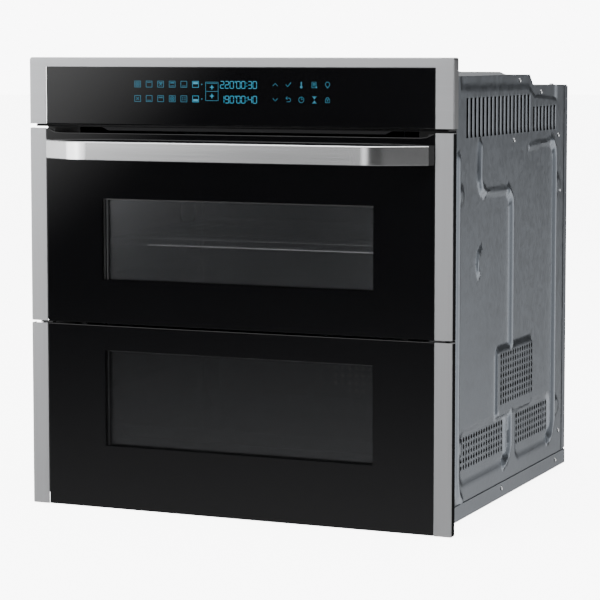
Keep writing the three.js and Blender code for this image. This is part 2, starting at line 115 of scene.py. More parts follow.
def insetRing(outline, amount):
    # each corner of a counter-clockwise outline moves inwards along its mitre by amount
    before, after = np.roll(outline, 1, 0), np.roll(outline, -1, 0)
    a, b = outline - before, after - outline
    a /= np.linalg.norm(a, axis=1, keepdims=True)
    b /= np.linalg.norm(b, axis=1, keepdims=True)
    na, nb = np.stack([-a[:, 1], a[:, 0]], 1), np.stack([-b[:, 1], b[:, 0]], 1)
    return outline + (na + nb) / np.maximum(1 + (na * nb).sum(1, keepdims=True), 0.3) * amount


def pressedPlate(outline, near, far, edge, plane="xz", steps=3):
    # an outline in millimetres carried through its thickness, each rim rounded by a quarter circle of radius edge
    outline, near, far, edge = np.asarray(outline, float) * mm, near * mm, far * mm, edge * mm
    area = (outline[:, 0] * np.roll(outline[:, 1], -1) - np.roll(outline[:, 0], -1) * outline[:, 1]).sum()
    outline = outline if area > 0 else outline[::-1]
    turn = np.linspace(0, math.pi / 2, steps + 1)
    inset = np.concatenate([edge * (1 - np.sin(turn)), edge * (1 - np.sin(turn[::-1]))])
    depth = np.concatenate([near + edge * (1 - np.cos(turn)), far - edge * (1 - np.cos(turn[::-1]))])
    rings = np.stack([insetRing(outline, i) for i in inset])
    depth = np.broadcast_to(depth[:, None], rings.shape[:2])
    a, b = rings[..., 0], rings[..., 1]
    points = {"xz": (a, depth, b), "yz": (depth, a, b), "xy": (a, b, depth)}[plane]
    return lofted(np.stack(points, -1) + np.array([0, frontY, 0]))


def roundedRect(x0, x1, y0, y1, radius, steps=4):
    # a counter-clockwise rectangle with quarter circles at its corners
    turn = np.linspace(0, math.pi / 2, steps + 1)
    corners = [(x1 - radius, y1 - radius, 0), (x0 + radius, y1 - radius, 1),
               (x0 + radius, y0 + radius, 2), (x1 - radius, y0 + radius, 3)]
    arcs = [np.stack([x + radius * np.cos(turn + k * math.pi / 2), y + radius * np.sin(turn + k * math.pi / 2)], 1)
            for x, y, k in corners]
    return np.concatenate(arcs)


def tube(path, radius, sides=10, closed=False, squash=1.0):
    # a circle carried along a path; its frame turns with the path and never twists
    path, radius = np.asarray(path, float), radius * mm
    ahead = np.roll(path, -1, 0) - np.roll(path, 1, 0) if closed else np.gradient(path, axis=0)
    ahead /= np.linalg.norm(ahead, axis=1, keepdims=True)
    side = np.empty_like(path)
    start = np.cross(ahead[0], [0, 0, 1.0] if abs(ahead[0][2]) < 0.9 else [0, 1.0, 0])
    side[0] = start / np.linalg.norm(start)
    for i in range(1, len(path)):
        flat = side[i - 1] - ahead[i] * (side[i - 1] @ ahead[i])
        side[i] = flat / np.linalg.norm(flat)
    up = np.cross(side, ahead)
    turn = np.linspace(0, 2 * math.pi, sides, endpoint=False)
    ring = side[:, None] * np.cos(turn)[None, :, None] + up[:, None] * np.sin(turn)[None, :, None] * squash
    return lofted(path[:, None] + ring * radius, closed)


def turned(profile, centre, axis="y", sides=24):
    # a profile of (radius, distance) pairs in millimetres turned round an axis through centre
    r, d = np.asarray(profile, float).T[:, :, None] * mm
    turn = np.linspace(0, 2 * math.pi, sides, endpoint=False)
    c, s, d = np.broadcast_arrays(r * np.cos(turn), r * np.sin(turn), d)
    points = {"x": (d, c, s), "y": (s, d, c), "z": (c, s, d)}[axis]
    return lofted(np.stack(points, -1) + np.asarray(centre))


def smoothStep(x):
    x = np.clip(x, 0, 1)
    return x * x * (3 - 2 * x)


def distanceToPath(u, v, path):
    # the least distance from every lattice point to the segments of a path
    best = np.full(np.shape(u), 1e9)
    for (ax, ay), (bx, by) in zip(path[:-1], path[1:]):
        dx, dy = bx - ax, by - ay
        t = np.clip(((u - ax) * dx + (v - ay) * dy) / max(dx * dx + dy * dy, 1e-12), 0, 1)
        best = np.minimum(best, np.hypot(u - ax - t * dx, v - ay - t * dy))
    return best


def rectDistance(u, v, box, corner):
    # signed distance to a rectangle with round corners, positive inside
    u0, u1, v0, v1 = box
    dx = np.abs(u - (u0 + u1) / 2) - ((u1 - u0) / 2 - corner)
    dy = np.abs(v - (v0 + v1) / 2) - ((v1 - v0) / 2 - corner)
    return corner - np.hypot(np.maximum(dx, 0), np.maximum(dy, 0)) - np.minimum(np.maximum(dx, dy), 0)


def bead(distance, halfWide, high):
    # a round-topped rib: its height falls with the square of the distance from its line
    return high * np.clip(1 - (distance / halfWide) ** 2, 0, 1) ** 0.75


def terrace(distance, slope, high):
    # a raised field whose sides climb smoothly over the width of the slope
    return high * smoothStep(distance / slope + 0.5)


def latticeLines(low, high, spacing, special=()):
    # even lines between two limits, with the special lines put in and near doubles dropped
    even = np.linspace(low, high, max(2, int(round((high - low) / spacing)) + 1))
    special = np.unique(np.round(np.asarray(special, float), 7))
    if len(special):
        keep = np.abs(even[:, None] - special[None]).min(1) > spacing * 0.3
        keep[[0, -1]] = True
        even = even[keep]
    return np.unique(np.concatenate([even, special]))


def stampedSheet(uLines, vLines, place, height, holes=(), flip=False, pinch=0.2):
    # a lattice sheet: place(u, v, h) puts each point, height(u, v) presses it, and cells inside a hole stay open;
    # a round hole has its corners pinched in by a share of its size
    u, v = np.meshgrid(uLines, vLines)
    h = height(u, v)
    pu, pv = u.copy(), v.copy()
    isOpen = np.zeros((len(vLines) - 1, len(uLines) - 1), bool)
    for u0, u1, v0, v1, isRound in holes:
        i0, i1 = np.searchsorted(uLines, [u0 - 1e-7, u1 - 1e-7])
        j0, j1 = np.searchsorted(vLines, [v0 - 1e-7, v1 - 1e-7])
        isOpen[j0:j1, i0:i1] = True
        if isRound:
            for j, i, sv, su in ((j0, i0, 1, 1), (j0, i1, 1, -1), (j1, i0, -1, 1), (j1, i1, -1, -1)):
                pu[j, i] += su * pinch * (u1 - u0)
                pv[j, i] += sv * pinch * (v1 - v0)
    faces = gridFaces(len(vLines), len(uLines))[~isOpen.ravel()]
    points = place(pu, pv, h).reshape(-1, 3)
    used, faces = np.unique(faces, return_inverse=True)
    faces = faces.reshape(-1, 4)
    return points[used], [faces[:, ::-1] if flip else faces]


def slotRow(first, count, pitch, wide, low, high):
    # a row of upright slots as hole rectangles (u0, u1, v0, v1, round)
    return [(first + i * pitch, first + i * pitch + wide, low, high, False) for i in range(count)]


def panHead(centre, axis, sign, radius=3.4, high=1.9, sides=14):
    # a domed screw head with a dimple for the driver
    profile = np.array([(radius, -0.4), (radius, 0.25 * high), (0.86 * radius, 0.7 * high), (0.55 * radius, high),
                        (0.36 * radius, high), (0.2 * radius, 0.25 * high)])
    return turned(profile * [1, sign], centre, axis, sides)


# ---- shader groups ----
def addNode(tree, kind, values=None, links=None, **settings):
    # one node with its settings, socket values and incoming links
    node = tree.nodes.new(kind)
    for key, value in settings.items():
        setattr(node, key, value)
    for key, value in (values or {}).items():
        node.inputs[key].default_value = value
    for key, source in (links or {}).items():
        tree.links.new(source, node.inputs[key])
    return node


def mathNode(tree, operation, a, b=None, c=None, clamp=False):
    # a sum of plain numbers and sockets
    node = addNode(tree, "ShaderNodeMath", operation=operation, use_clamp=clamp)
    for i, item in enumerate((a, b, c)):
        if isinstance(item, (int, float)):
            node.inputs[i].default_value = item
        elif item is not None:
            tree.links.new(item, node.inputs[i])
    return node.outputs[0]


def scaledColor(tree, color, factor):
    # a colour, plain or from a socket, times a factor
    plain, linked = ({0: color}, {}) if isinstance(color, tuple) else ({}, {0: color})
    return addNode(tree, "ShaderNodeVectorMath", plain, {**linked, "Scale": factor}, operation="SCALE").outputs[0]


def makeEffect(name, extras, work):
    # a group that takes a vector, a colour, a roughness and extras, and gives a colour, a roughness and a height
    group = bpy.data.node_groups.new(name, "ShaderNodeTree")
    taken = [("Vector", "NodeSocketVector"), ("Color", "NodeSocketColor"), ("Roughness", "NodeSocketFloat")]
    for label, kind in taken + [(extra, "NodeSocketFloat") for extra in extras]:
        group.interface.new_socket(name=label, in_out="INPUT", socket_type=kind)
    for label, kind in taken[1:] + [("Height", "NodeSocketFloat")]:
        group.interface.new_socket(name=label, in_out="OUTPUT", socket_type=kind)
    given, made = group.nodes.new("NodeGroupInput").outputs, group.nodes.new("NodeGroupOutput").inputs
    bright, rough, height = work(group, given)
    for label, source in (("Color", scaledColor(group, given["Color"], bright)), ("Roughness", rough), ("Height", height)):
        group.links.new(source, made[label])
    return group


def noiseNode(tree, vector, scale, detail, roughness=0.5):
    # cloudy noise; the scale is a number or a socket
    plain, linked = ({"Scale": scale}, {}) if isinstance(scale, float) else ({}, {"Scale": scale})
    plain.update({"Detail": detail, "Roughness": roughness})
    return addNode(tree, "ShaderNodeTexNoise", plain, {"Vector": vector, **linked}).outputs["Fac"]


def workGrain(tree, given):
    # brushed lines: fine and broad noise on a vector that the material has stretched along the brushing
    fine = noiseNode(tree, given["Vector"], 1.0, 3.0, 0.6)
    broad = noiseNode(tree, given["Vector"], 0.16, 2.0)
    tone = mathNode(tree, "MULTIPLY_ADD", fine, 0.6, mathNode(tree, "MULTIPLY", broad, 0.4))
    shade = mathNode(tree, "MULTIPLY", mathNode(tree, "SUBTRACT", tone, 0.5), given["Amount"])
    rough = mathNode(tree, "MULTIPLY_ADD", shade, 0.35, given["Roughness"], clamp=True)
    return mathNode(tree, "ADD", shade, 1.0), rough, tone


def workMottle(tree, given):
    # soft cloudy change of tone and gloss, as handling and cleaning leave on any surface
    cloud = noiseNode(tree, given["Vector"], given["Scale"], 4.0, 0.55)
    speck = noiseNode(tree, given["Vector"], mathNode(tree, "MULTIPLY", given["Scale"], 23.0), 2.0)
    both = mathNode(tree, "MULTIPLY_ADD", speck, 0.35, mathNode(tree, "MULTIPLY", cloud, 0.65))
    centred = mathNode(tree, "SUBTRACT", both, 0.5)
    rough = mathNode(tree, "MULTIPLY_ADD", centred, given["Gloss"], given["Roughness"], clamp=True)
    return mathNode(tree, "MULTIPLY_ADD", centred, given["Tone"], 1.0), rough, both


def workSpangle(tree, given):
    # zinc crystals: cells of slightly different tone and gloss, their edges warped by noise
    warp = addNode(tree, "ShaderNodeTexNoise", {"Scale": 60.0, "Detail": 2.0}, {"Vector": given["Vector"]})
    shift = addNode(tree, "ShaderNodeVectorMath", {"Scale": 0.02}, {0: warp.outputs["Color"]}, operation="SCALE")
    moved = addNode(tree, "ShaderNodeVectorMath", None, {0: given["Vector"], 1: shift.outputs[0]}, operation="ADD")
    cells = addNode(tree, "ShaderNodeTexVoronoi", {"Scale": 140.0}, {"Vector": moved.outputs[0]})
    value = addNode(tree, "ShaderNodeSeparateColor", None, {0: cells.outputs["Color"]}).outputs[0]
    shade = mathNode(tree, "MULTIPLY", mathNode(tree, "SUBTRACT", value, 0.5), given["Amount"])
    return mathNode(tree, "ADD", shade, 1.0), mathNode(tree, "ADD", given["Roughness"], shade, clamp=True), value


grainGroup = makeEffect("brushedGrain", ["Amount"], workGrain)
mottleGroup = makeEffect("surfaceMottle", ["Tone", "Gloss", "Scale"], workMottle)
spangleGroup = makeEffect("zincSpangle", ["Amount"], workSpangle)


def startMaterial(name, color, roughness, metallic=0.0, **sockets):
    material = bpy.data.materials.new(name)
    material.use_nodes = True
    shader = material.node_tree.nodes["Principled BSDF"]
    shader.inputs["Base Color"].default_value = (*color, 1)
    shader.inputs["Roughness"].default_value = roughness
    shader.inputs["Metallic"].default_value = metallic
    for key, value in sockets.items():
        shader.inputs[key.replace("_", " ")].default_value = value
    material.diffuse_color = (*color, 1)
    return material, material.node_tree, shader


def objectVector(tree, stretch=(1, 1, 1)):
    # object coordinates, stretched per axis
    place = tree.nodes.new("ShaderNodeTexCoord").outputs["Object"]
    return addNode(tree, "ShaderNodeMapping", {"Scale": stretch}, {"Vector": place}).outputs[0]


def objectAxes(tree):
    # object coordinates as three numbers
    place = tree.nodes.new("ShaderNodeTexCoord").outputs["Object"]
    return addNode(tree, "ShaderNodeSeparateXYZ", None, {0: place}).outputs


def groupNode(tree, group, vector, color, roughness, values):
    # one shared effect in a material, its colour and roughness plain or from another effect
    node = tree.nodes.new("ShaderNodeGroup")
    node.node_tree = group
    tree.links.new(vector, node.inputs["Vector"])
    for key, item in (("Color", color), ("Roughness", roughness), *values.items()):
        if isinstance(item, (int, float, tuple)):
            node.inputs[key].default_value = (*item, 1) if isinstance(item, tuple) else item
        else:
            tree.links.new(item, node.inputs[key])
    return node.outputs


def dress(tree, shader, effect, bump=0.0, reach=0.0002):
    # an effect's outputs feed colour, roughness and a light bump
    tree.links.new(effect["Color"], shader.inputs["Base Color"])
    tree.links.new(effect["Roughness"], shader.inputs["Roughness"])
    if bump:
        lift = addNode(tree, "ShaderNodeBump", {"Strength": bump, "Distance": reach}, {"Height": effect["Height"]})
        tree.links.new(lift.outputs[0], shader.inputs["Normal"])


def brushedMetal(name, color, roughness, stretch, flankShadeTone=1.0, flankShadeCover=0.0, flankX=0.2971):
    # drawn steel; beyond flankX, on the folded flanks, the flank shade tone multiplies the colour and the flank shade
    # cover takes away the metal: painted shade on the trims' side returns
    material, tree, shader = startMaterial(name, color, roughness, 1.0, Specular_IOR_Level=0.0)
    # painted shade: the flank mask darkens the side returns
    flank = mathNode(tree, "GREATER_THAN", mathNode(tree, "ABSOLUTE", objectAxes(tree)[0]), flankX)
    shade = scaledColor(tree, color, mathNode(tree, "MULTIPLY_ADD", flank, flankShadeTone - 1, 1.0))
    dress(tree, shader, groupNode(tree, grainGroup, objectVector(tree, stretch), shade, roughness, {"Amount": 0.16}), 0.05)
    if flankShadeCover:
        tree.links.new(mathNode(tree, "MULTIPLY_ADD", flank, -flankShadeCover, 1.0), shader.inputs["Metallic"])
    return material


def zincSheet(name, color, roughness, metallic=0.85):
    # clouded zinc with its crystals over it
    material, tree, shader = startMaterial(name, color, roughness, metallic)
    vector = objectVector(tree)
    cloud = groupNode(tree, mottleGroup, vector, color, roughness, {"Tone": 0.3, "Gloss": 0.12, "Scale": 6.0})
    dress(tree, shader, groupNode(tree, spangleGroup, vector, cloud["Color"], cloud["Roughness"], {"Amount": 0.07}), 0.05)
    return material


def mottledFinish(name, color, roughness, metallic=0.0, tone=0.15, gloss=0.12, scale=14.0, bump=0.05, **sockets):
    material, tree, shader = startMaterial(name, color, roughness, metallic, **sockets)
    values = {"Tone": tone, "Gloss": gloss, "Scale": scale}
    dress(tree, shader, groupNode(tree, mottleGroup, objectVector(tree), color, roughness, values), bump)
    return material


def windowedGlass(name, window, clear):
    # black backed glass with one clear area: opaque outside the window's rectangle, mostly clear inside it
    color, roughness, soft, haze = (0.003, 0.003, 0.0035), 0.035, 0.4 * mm, 0.10
    material, tree, shader = startMaterial(name, color, roughness, Specular_IOR_Level=0.5)
    axes = objectAxes(tree)
    past = []
    for axis, low, high in ((0, *window[:2]), (2, *window[2:])):
        away = mathNode(tree, "ABSOLUTE", mathNode(tree, "SUBTRACT", axes[axis], (low + high) / 2))
        past.append(mathNode(tree, "SUBTRACT", away, (high - low) / 2))
    outside = mathNode(tree, "MAXIMUM", *past)
    inside = addNode(tree, "ShaderNodeMapRange", {"From Min": soft, "From Max": -soft}, {"Value": outside}).outputs[0]
    effect = groupNode(tree, mottleGroup, objectVector(tree), color, roughness, {"Tone": 0.3, "Gloss": 0.03, "Scale": 9.0})
    dress(tree, shader, effect)
    tree.links.new(mathNode(tree, "MULTIPLY_ADD", inside, -clear, 1.0), shader.inputs["Alpha"])
    tree.links.new(mathNode(tree, "MULTIPLY_ADD", inside, haze, effect["Roughness"]), shader.inputs["Roughness"])
    return material


def litMark(name, color, strength):
    # a glowing print whose light changes slightly over its surface
    material, tree, shader = startMaterial(name, tuple(c * 0.1 for c in color), 0.4, Emission_Strength=strength)
    noise = addNode(tree, "ShaderNodeTexNoise", {"Scale": 900.0}, {"Vector": objectVector(tree)})
    spread = addNode(tree, "ShaderNodeMapRange", {"From Min": 0.35, "From Max": 0.65, "To Min": 0.82, "To Max": 1.0},
                     {"Value": noise.outputs["Fac"]})
    tree.links.new(scaledColor(tree, color, spread.outputs[0]), shader.inputs["Emission Color"])
    return material


# ---- finishes ----
steelTone = (0.56, 0.565, 0.58)
# painted shade: the door trims' side returns are made near black and not metal
trimSteel = brushedMetal("trimSteel", steelTone, 0.30, (900, 900, 12), flankShadeTone=0.02, flankShadeCover=1.0)
# painted shade: the control trim's side returns are darkened
headTrimSteel = brushedMetal("headTrimSteel", steelTone, 0.30, (12, 900, 900), flankShadeTone=0.4)
handleSteel = brushedMetal("handleSteel", (0.80, 0.805, 0.815), 0.20, (10, 700, 900))
zinc = zincSheet("zincSheet", (0.108, 0.120, 0.136), 0.35)
# painted light: a lighter copy of the zinc sheet for the roof, whose top catches the light from above
litZincRoof = zincSheet("litZincRoof", (0.27, 0.285, 0.30), 0.40)
blackPaint = mottledFinish("blackPaint", (0.012, 0.012, 0.013), 0.42, 0.0, 0.4, 0.2, 30)
blackPlastic = mottledFinish("blackPlastic", (0.006, 0.006, 0.007), 0.5, 0.0, 0.3, 0.15, 60, 0.12, Specular_IOR_Level=0.2)
panelGlass = mottledFinish("panelGlass", (0.003, 0.003, 0.0035), 0.035, 0.0, 0.3, 0.03, 9, 0)
innerGlass = mottledFinish("innerGlass", (0.16, 0.17, 0.18), 0.25, 1.0, 0.2, 0.04, 12, 0, Alpha=0.10)
coatedGlass = mottledFinish("coatedGlass", (0.75, 0.77, 0.80), 0.11, 1.0, 0.1, 0.02, 12, 0, Alpha=0.52)
paleCoatGlass = mottledFinish("paleCoatGlass", (0.75, 0.77, 0.80), 0.11, 1.0, 0.1, 0.02, 12, 0, Alpha=0.26)
retainerSteel = mottledFinish("retainerSteel", (0.14, 0.14, 0.145), 0.3, 0.6, 0.2, 0.1, 40)
enamel = mottledFinish("enamel", (0.045, 0.05, 0.06), 0.22, 0.0, 1.2, 0.15, 90, 0.15, Coat_Weight=0.6)
wireChrome = mottledFinish("wireChrome", (0.62, 0.62, 0.64), 0.16, 1.0, 0.15, 0.15, 40)
heaterSteel = mottledFinish("heaterSteel", (0.10, 0.095, 0.09), 0.45, 0.7, 0.5, 0.3, 50, 0.2)
woolFoil = mottledFinish("woolFoil", (0.03, 0.029, 0.027), 0.9, 0.0, 0.8, 0.08, 120, 0.6, Specular_IOR_Level=0.0)
# painted shade: near black for the sheets behind the louvre slots
slotShadeBlack = mottledFinish("slotShadeBlack", (0.006, 0.006, 0.006), 0.9, 0.0, 0.5, 0.08, 90, 0.3, Specular_IOR_Level=0.0)
sealBraid = mottledFinish("sealBraid", (0.03, 0.03, 0.032), 0.85, 0.0, 1.0, 0.2, 400, 0.8)
boardLacquer = mottledFinish("boardLacquer", (0.02, 0.10, 0.05), 0.35, 0.0, 0.4, 0.2, 60)
lampLensGlass = mottledFinish("lampLensGlass", (0.75, 0.74, 0.70), 0.2, 0.0, 0.1, 0.1, 30, 0, Alpha=0.6)
plainMetal = mottledFinish("plainMetal", (0.42, 0.425, 0.43), 0.38, 0.9, 0.3, 0.2, 40)
screwMetal = mottledFinish("screwMetal", (0.38, 0.39, 0.40), 0.28, 1.0, 0.2, 0.1, 60)
print("finishes made")

finishOf = {
    "brushed_steel": trimSteel, "galvanised_sheet": zinc, "black_glass": panelGlass, "clear_glass": innerGlass,
    "black_plastic": blackPlastic, "black_paint": blackPaint, "enamel": enamel, "chrome_wire": wireChrome,
    "heater_steel": heaterSteel, "mineral_wool": woolFoil, "seal_braid": sealBraid, "circuit_board": boardLacquer,
    "lamp_glass": lampLensGlass, "motor_metal": plainMetal,
}
darkened = {"latch_yoke": blackPaint, "convection_fan_upper": heaterSteel, "convection_fan_lower": heaterSteel}
for entry in frame["record"]["subparts"]:  # every CAD node gets the finish of its slot
    node = frame["nodes"][entry["node"]]
    node.data.materials.clear()
    node.data.materials.append(darkened.get(entry["node"], finishOf[entry["material_slot"]]))

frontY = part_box("control_trim")[0].y  # the front plane of the doors and panel


def spot(x, y, z):
    # millimetres right of the middle, behind the front plane and above the feet, as a point of the frame
    x, y, z = np.broadcast_arrays(np.asarray(x, float), np.asarray(y, float), np.asarray(z, float))
    return np.stack([x * mm, y * mm + frontY, z * mm], -1)


# ---- stamped side panels ----
case = {"front": 34.5, "rear": 542.5, "top": 573.0, "rearTop": 557.0, "stepFront": 371.0, "stepRear": 389.0}
sidePanel = {
    "x": 278.3, "bottom": 9.0, "spacing": 3.2, "flange": 9.0, "bendLevel": 530.0, "baseX": 280.0,
    "louvres": [(101.6, 17, 494.5, 545.5), (382.1, 7, 494.5, 528.5)], "louvrePitch": 16.0, "louvreWide": 8.6,
    "fields": [(236.4, 14, 133.6, 8), (89.4, 17, 68.1, 5), (319.4, 14, 68.1, 5)],
    "holePitch": (10.3, 8.9), "holeSize": (6.3, 6.7),
    "ribs": [
        ([(155, 484), (153.5, 441), (160, 428), (174.5, 422)], 6.5, 4.2),
        ([(174.5, 422), (273, 419)], 3.5, 1.6),
        ([(273, 419), (283, 412), (286, 398), (286, 210)], 7.0, 4.6),
        ([(286, 117), (285, 72), (276, 56), (262, 51)], 7.0, 4.2),
        ([(366, 474), (470, 479)], 3.2, 1.6),
        ([(470, 479), (480, 470), (482, 455), (482, 76), (474, 60), (462, 53)], 7.0, 4.6),
        ([(71, 470), (71, 62), (76, 40), (88, 30)], 6.0, 3.4),
        ([(161, 348.5), (150, 342), (146, 333), (148, 322), (154, 316)], 4.2, 2.8),
    ],
    "bumps": [((492, 416), 13, 4.4), ((492, 97), 13, 4.4), ((79, 422), 11, 3.4), ((79, 99), 11, 3.4)],
    "bumpSlope": 8, "plateaus": [((224, 380, 117, 209), 10, 5.5, 3.4)],
    "recesses": [((84, 268, 50, 118), 16, 4.5, 1.7), ((314, 468, 50, 118), 16, 4.5, 1.7)],
    "creaseLine": ([82, 361, 391, 486, 500], [557.0, 556.0, 541.0, 537.0, 530.0]), "creaseDeep": 1.5, "creaseSlope": 3.0,
    "creaseFront": (78, 10), "creaseRear": (497, 12), "frontStep": (50, 4.0, 1.2), "lipWide": 3.2, "lipDeep": 0.6, "lipEnd": 3.0,
    "lipLines": (1.2, 2.6, 4.4),
    "screws": [(325.7, 565.5), (422.6, 548.5), (297.5, 485.5), (501.2, 486), (509.6, 407.5), (513.5, 58.7)],
    "baseScrews": [(494.8, 18.4), (249.2, 19.3)],
}


def sideHoles(d):
    # louvre slots and round perforations as rectangles (u0, u1, v0, v1, round)
    slots = [s for first, count, *ends in d["louvres"] for s in slotRow(first, count, d["louvrePitch"], d["louvreWide"], *ends)]
    (pu, pv), (hu, hv) = d["holePitch"], d["holeSize"]
    dots = [(u + i * pu, u + i * pu + hu, v + j * pv, v + j * pv + hv, True)
            for u, columns, v, rows in d["fields"] for i in range(columns) for j in range(rows)]
    return slots, dots


def sideRelief(d, y, z):
    # the pressed height over the panel: the greatest of its ribs, plateaus and bumps, less the recesses, the bent
    # crease under the roof, a step at the front and a shallow lip behind each louvre slot
    h = np.zeros_like(y)
    for path, half, high in d["ribs"]:
        h = np.maximum(h, bead(distanceToPath(y, z, path), half, high))
    for box, corner, slope, high in d["plateaus"]:
        h = np.maximum(h, terrace(rectDistance(y, z, box, corner), slope, high))
    for (cy, cz), radius, high in d["bumps"]:
        h = np.maximum(h, terrace(radius - np.hypot(y - cy, z - cz), d["bumpSlope"], high))
    for box, corner, slope, deep in d["recesses"]:
        h = h - terrace(rectDistance(y, z, box, corner), slope, deep)
    (creaseStart, startSlope), (creaseEnd, endSlope) = d["creaseFront"], d["creaseRear"]
    crease = smoothStep((z - np.interp(y, *d["creaseLine"])) / d["creaseSlope"])
    crease = crease * smoothStep((y - creaseStart) / startSlope) * smoothStep((creaseEnd - y) / endSlope)
    stepEnd, stepSlope, stepDeep = d["frontStep"]
    h = h - d["creaseDeep"] * crease - stepDeep * smoothStep((stepEnd - y) / stepSlope)
    for first, count, low, high in d["louvres"]:
        along = y - first
        slotEnd = np.floor(along / d["louvrePitch"]) * d["louvrePitch"] + d["louvreWide"]
        past = np.where((along > 0) & (along < (count - 0.02) * d["louvrePitch"]), along - slotEnd, -1)
        lip = np.where(past > -0.01, 1 - smoothStep(past / d["lipWide"]), 0)
        within = smoothStep((z - low + 1) / d["lipEnd"]) * smoothStep((high + 1 - z) / d["lipEnd"])
        h = h - d["lipDeep"] * lip * within
    return h


def roofHeight(y):
    # the height of the case over its depth: level, then a slope down to the rear part
    return np.interp(y, [case["stepFront"], case["stepRear"]], [case["top"], case["rearTop"]])


def makeSidePanel(side, name, node):
    # rows above bendLevel are squeezed to follow the roof; the outermost rows and columns fold in by the flange
    d, front, rear, top = sidePanel, case["front"], case["rear"], case["top"]
    slots, dots = sideHoles(d)
    special = [u for s in slots + dots for u in s[:2]] + [(s[0] + s[1]) / 2 for s in dots]
    special += [s[1] + extra for s in slots for extra in d["lipLines"]]
    ys = latticeLines(front, rear, d["spacing"], special)
    levels = [v for s in slots + dots for v in s[2:4]] + [(s[2] + s[3]) / 2 for s in dots]
    zs = latticeLines(d["bottom"], top, d["spacing"] * 1.15, levels)
    ys, zs = (np.concatenate([[s[0] - d["flange"]], s, [s[-1] + d["flange"]]]) for s in (ys, zs))

    def onPanel(y, z):
        yIn, zIn, bend = np.clip(y, front, rear), np.clip(z, d["bottom"], top), d["bendLevel"]
        return yIn, np.where(zIn > bend, bend + (zIn - bend) * (roofHeight(yIn) - bend) / (top - bend), zIn)

    def height(y, z):
        return sideRelief(d, *onPanel(y, z))

    def place(y, z, h):
        folded = np.abs(y - np.clip(y, front, rear)) + np.abs(z - np.clip(z, d["bottom"], top))
        return spot(side * (d["x"] + h - folded), *onPanel(y, z))

    sheet = stampedSheet(ys, zs, place, height, slots + dots, flip=side < 0)
    makePiece(name, [sheet], zinc, "chassis", [node], 40)
    places = [(d["x"] + float(sideRelief(d, np.array(y), np.array(z))), y, z) for y, z in d["screws"]]
    places += [(d["baseX"], y, z) for y, z in d["baseScrews"]]
    heads = [panHead(spot(side * x, y, z), "x", side) for x, y, z in places]
    makePiece(name + "Screws", heads, screwMetal, "chassis", ())


makeSidePanel(1, "sidePanelRight", "side_panel_right")
makeSidePanel(-1, "sidePanelLeft", "side_panel_left")
print("side panels made")


# ---- front trims ----
frontTrim = {
    "half": 297.5, "inner": 273.2, "thick": 1.2, "edge": 1.1, "bevel": 0.4, "top": 597.0,
    "glassTop": 584.35, "bottom": 509.3, "corner": 3.5, "endCorner": 1.6, "sideReturn": 16.0, "topReturn": 18.0, "doorReturn": 10.0,
}


def foldedTrim(outer, inner, depth):
    # a folded sheet section carried along matching outer and inner edges of the face; depth is the return's reach
    thick, edge, bevel = frontTrim["thick"], frontTrim["edge"], frontTrim["bevel"]
    outer, inner = np.asarray(outer, float), np.asarray(inner, float)
    depth = np.broadcast_to(np.asarray(depth, float), len(outer))[:, None]
    across = inner - outer
    width = np.linalg.norm(across, axis=1)[:, None]
    one = np.ones_like(width)
    turn = np.linspace(0, math.pi / 2, 5)
    bend = edge * (1 - np.sin(turn)), edge * (1 - np.cos(turn))
    inward = np.concatenate([width, width, width - bevel, one * bend[0], 0 * one, thick * one, thick * one], 1)
    back = np.concatenate([thick * one, bevel * one, 0 * one, one * bend[1], depth, depth, thick * one], 1)
    x = outer[:, :1] + across[:, :1] * inward / width
    z = outer[:, 1:] + across[:, 1:] * inward / width
    return lofted(spot(x, back, z))


def makeControlTrim():
    # an arch of trim over the control glass, its corners rounded and its left half mirrored from the right
    d = frontTrim
    r, h, t = d["corner"], d["half"], d["top"]
    turn = np.linspace(0, math.pi / 2, 7)
    right = np.concatenate([[(d["inner"], t)], np.stack([h - r + r * np.sin(turn), t - r + r * np.cos(turn)], 1),
                            [(h, d["glassTop"]), (h, d["bottom"])]])
    inside = np.concatenate([np.tile([(d["inner"], d["glassTop"])], (9, 1)), [(d["inner"], d["bottom"])]])
    reach = np.concatenate([np.full(5, d["topReturn"]), np.full(5, d["sideReturn"])])
    outer, inner = (np.concatenate([(line * [-1, 1])[::-1], line]) for line in (right, inside))
    trim = foldedTrim(outer, inner, np.concatenate([reach[::-1], reach]))
    makePiece("controlTrim", [trim], headTrimSteel, "chassis", ["control_trim"])


def boxHeights(node):
    # the lowest and highest level of a CAD node in millimetres
    low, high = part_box(node)
    return low.z / mm, high.z / mm


def makeDoorTrim(half, sideName, side):
    # an upright trim whose outer ends are rounded
    d, r, node = frontTrim, frontTrim["endCorner"], f"{half}_trim_{sideName}"
    z0, z1 = boxHeights(node)
    turn = np.linspace(0, math.pi / 2, 5)
    x = d["half"] - r * (1 - np.sin(np.concatenate([turn, turn[::-1]])))
    z = np.concatenate([z0 + r * (1 - np.cos(turn)), z1 - r * (1 - np.cos(turn[::-1]))])
    outer, inner = np.stack([side * x, z], 1), np.stack([np.full_like(x, side * d["inner"]), z], 1)
    makePiece(half + "Trim" + sideName.capitalize(), [foldedTrim(outer, inner, d["doorReturn"])], trimSteel, half + "_door",
              [node])


makeControlTrim()
for side, sideName in ((-1, "left"), (1, "right")):
    for half in ("upper", "lower"):
        makeDoorTrim(half, sideName, side)
print("trims made")

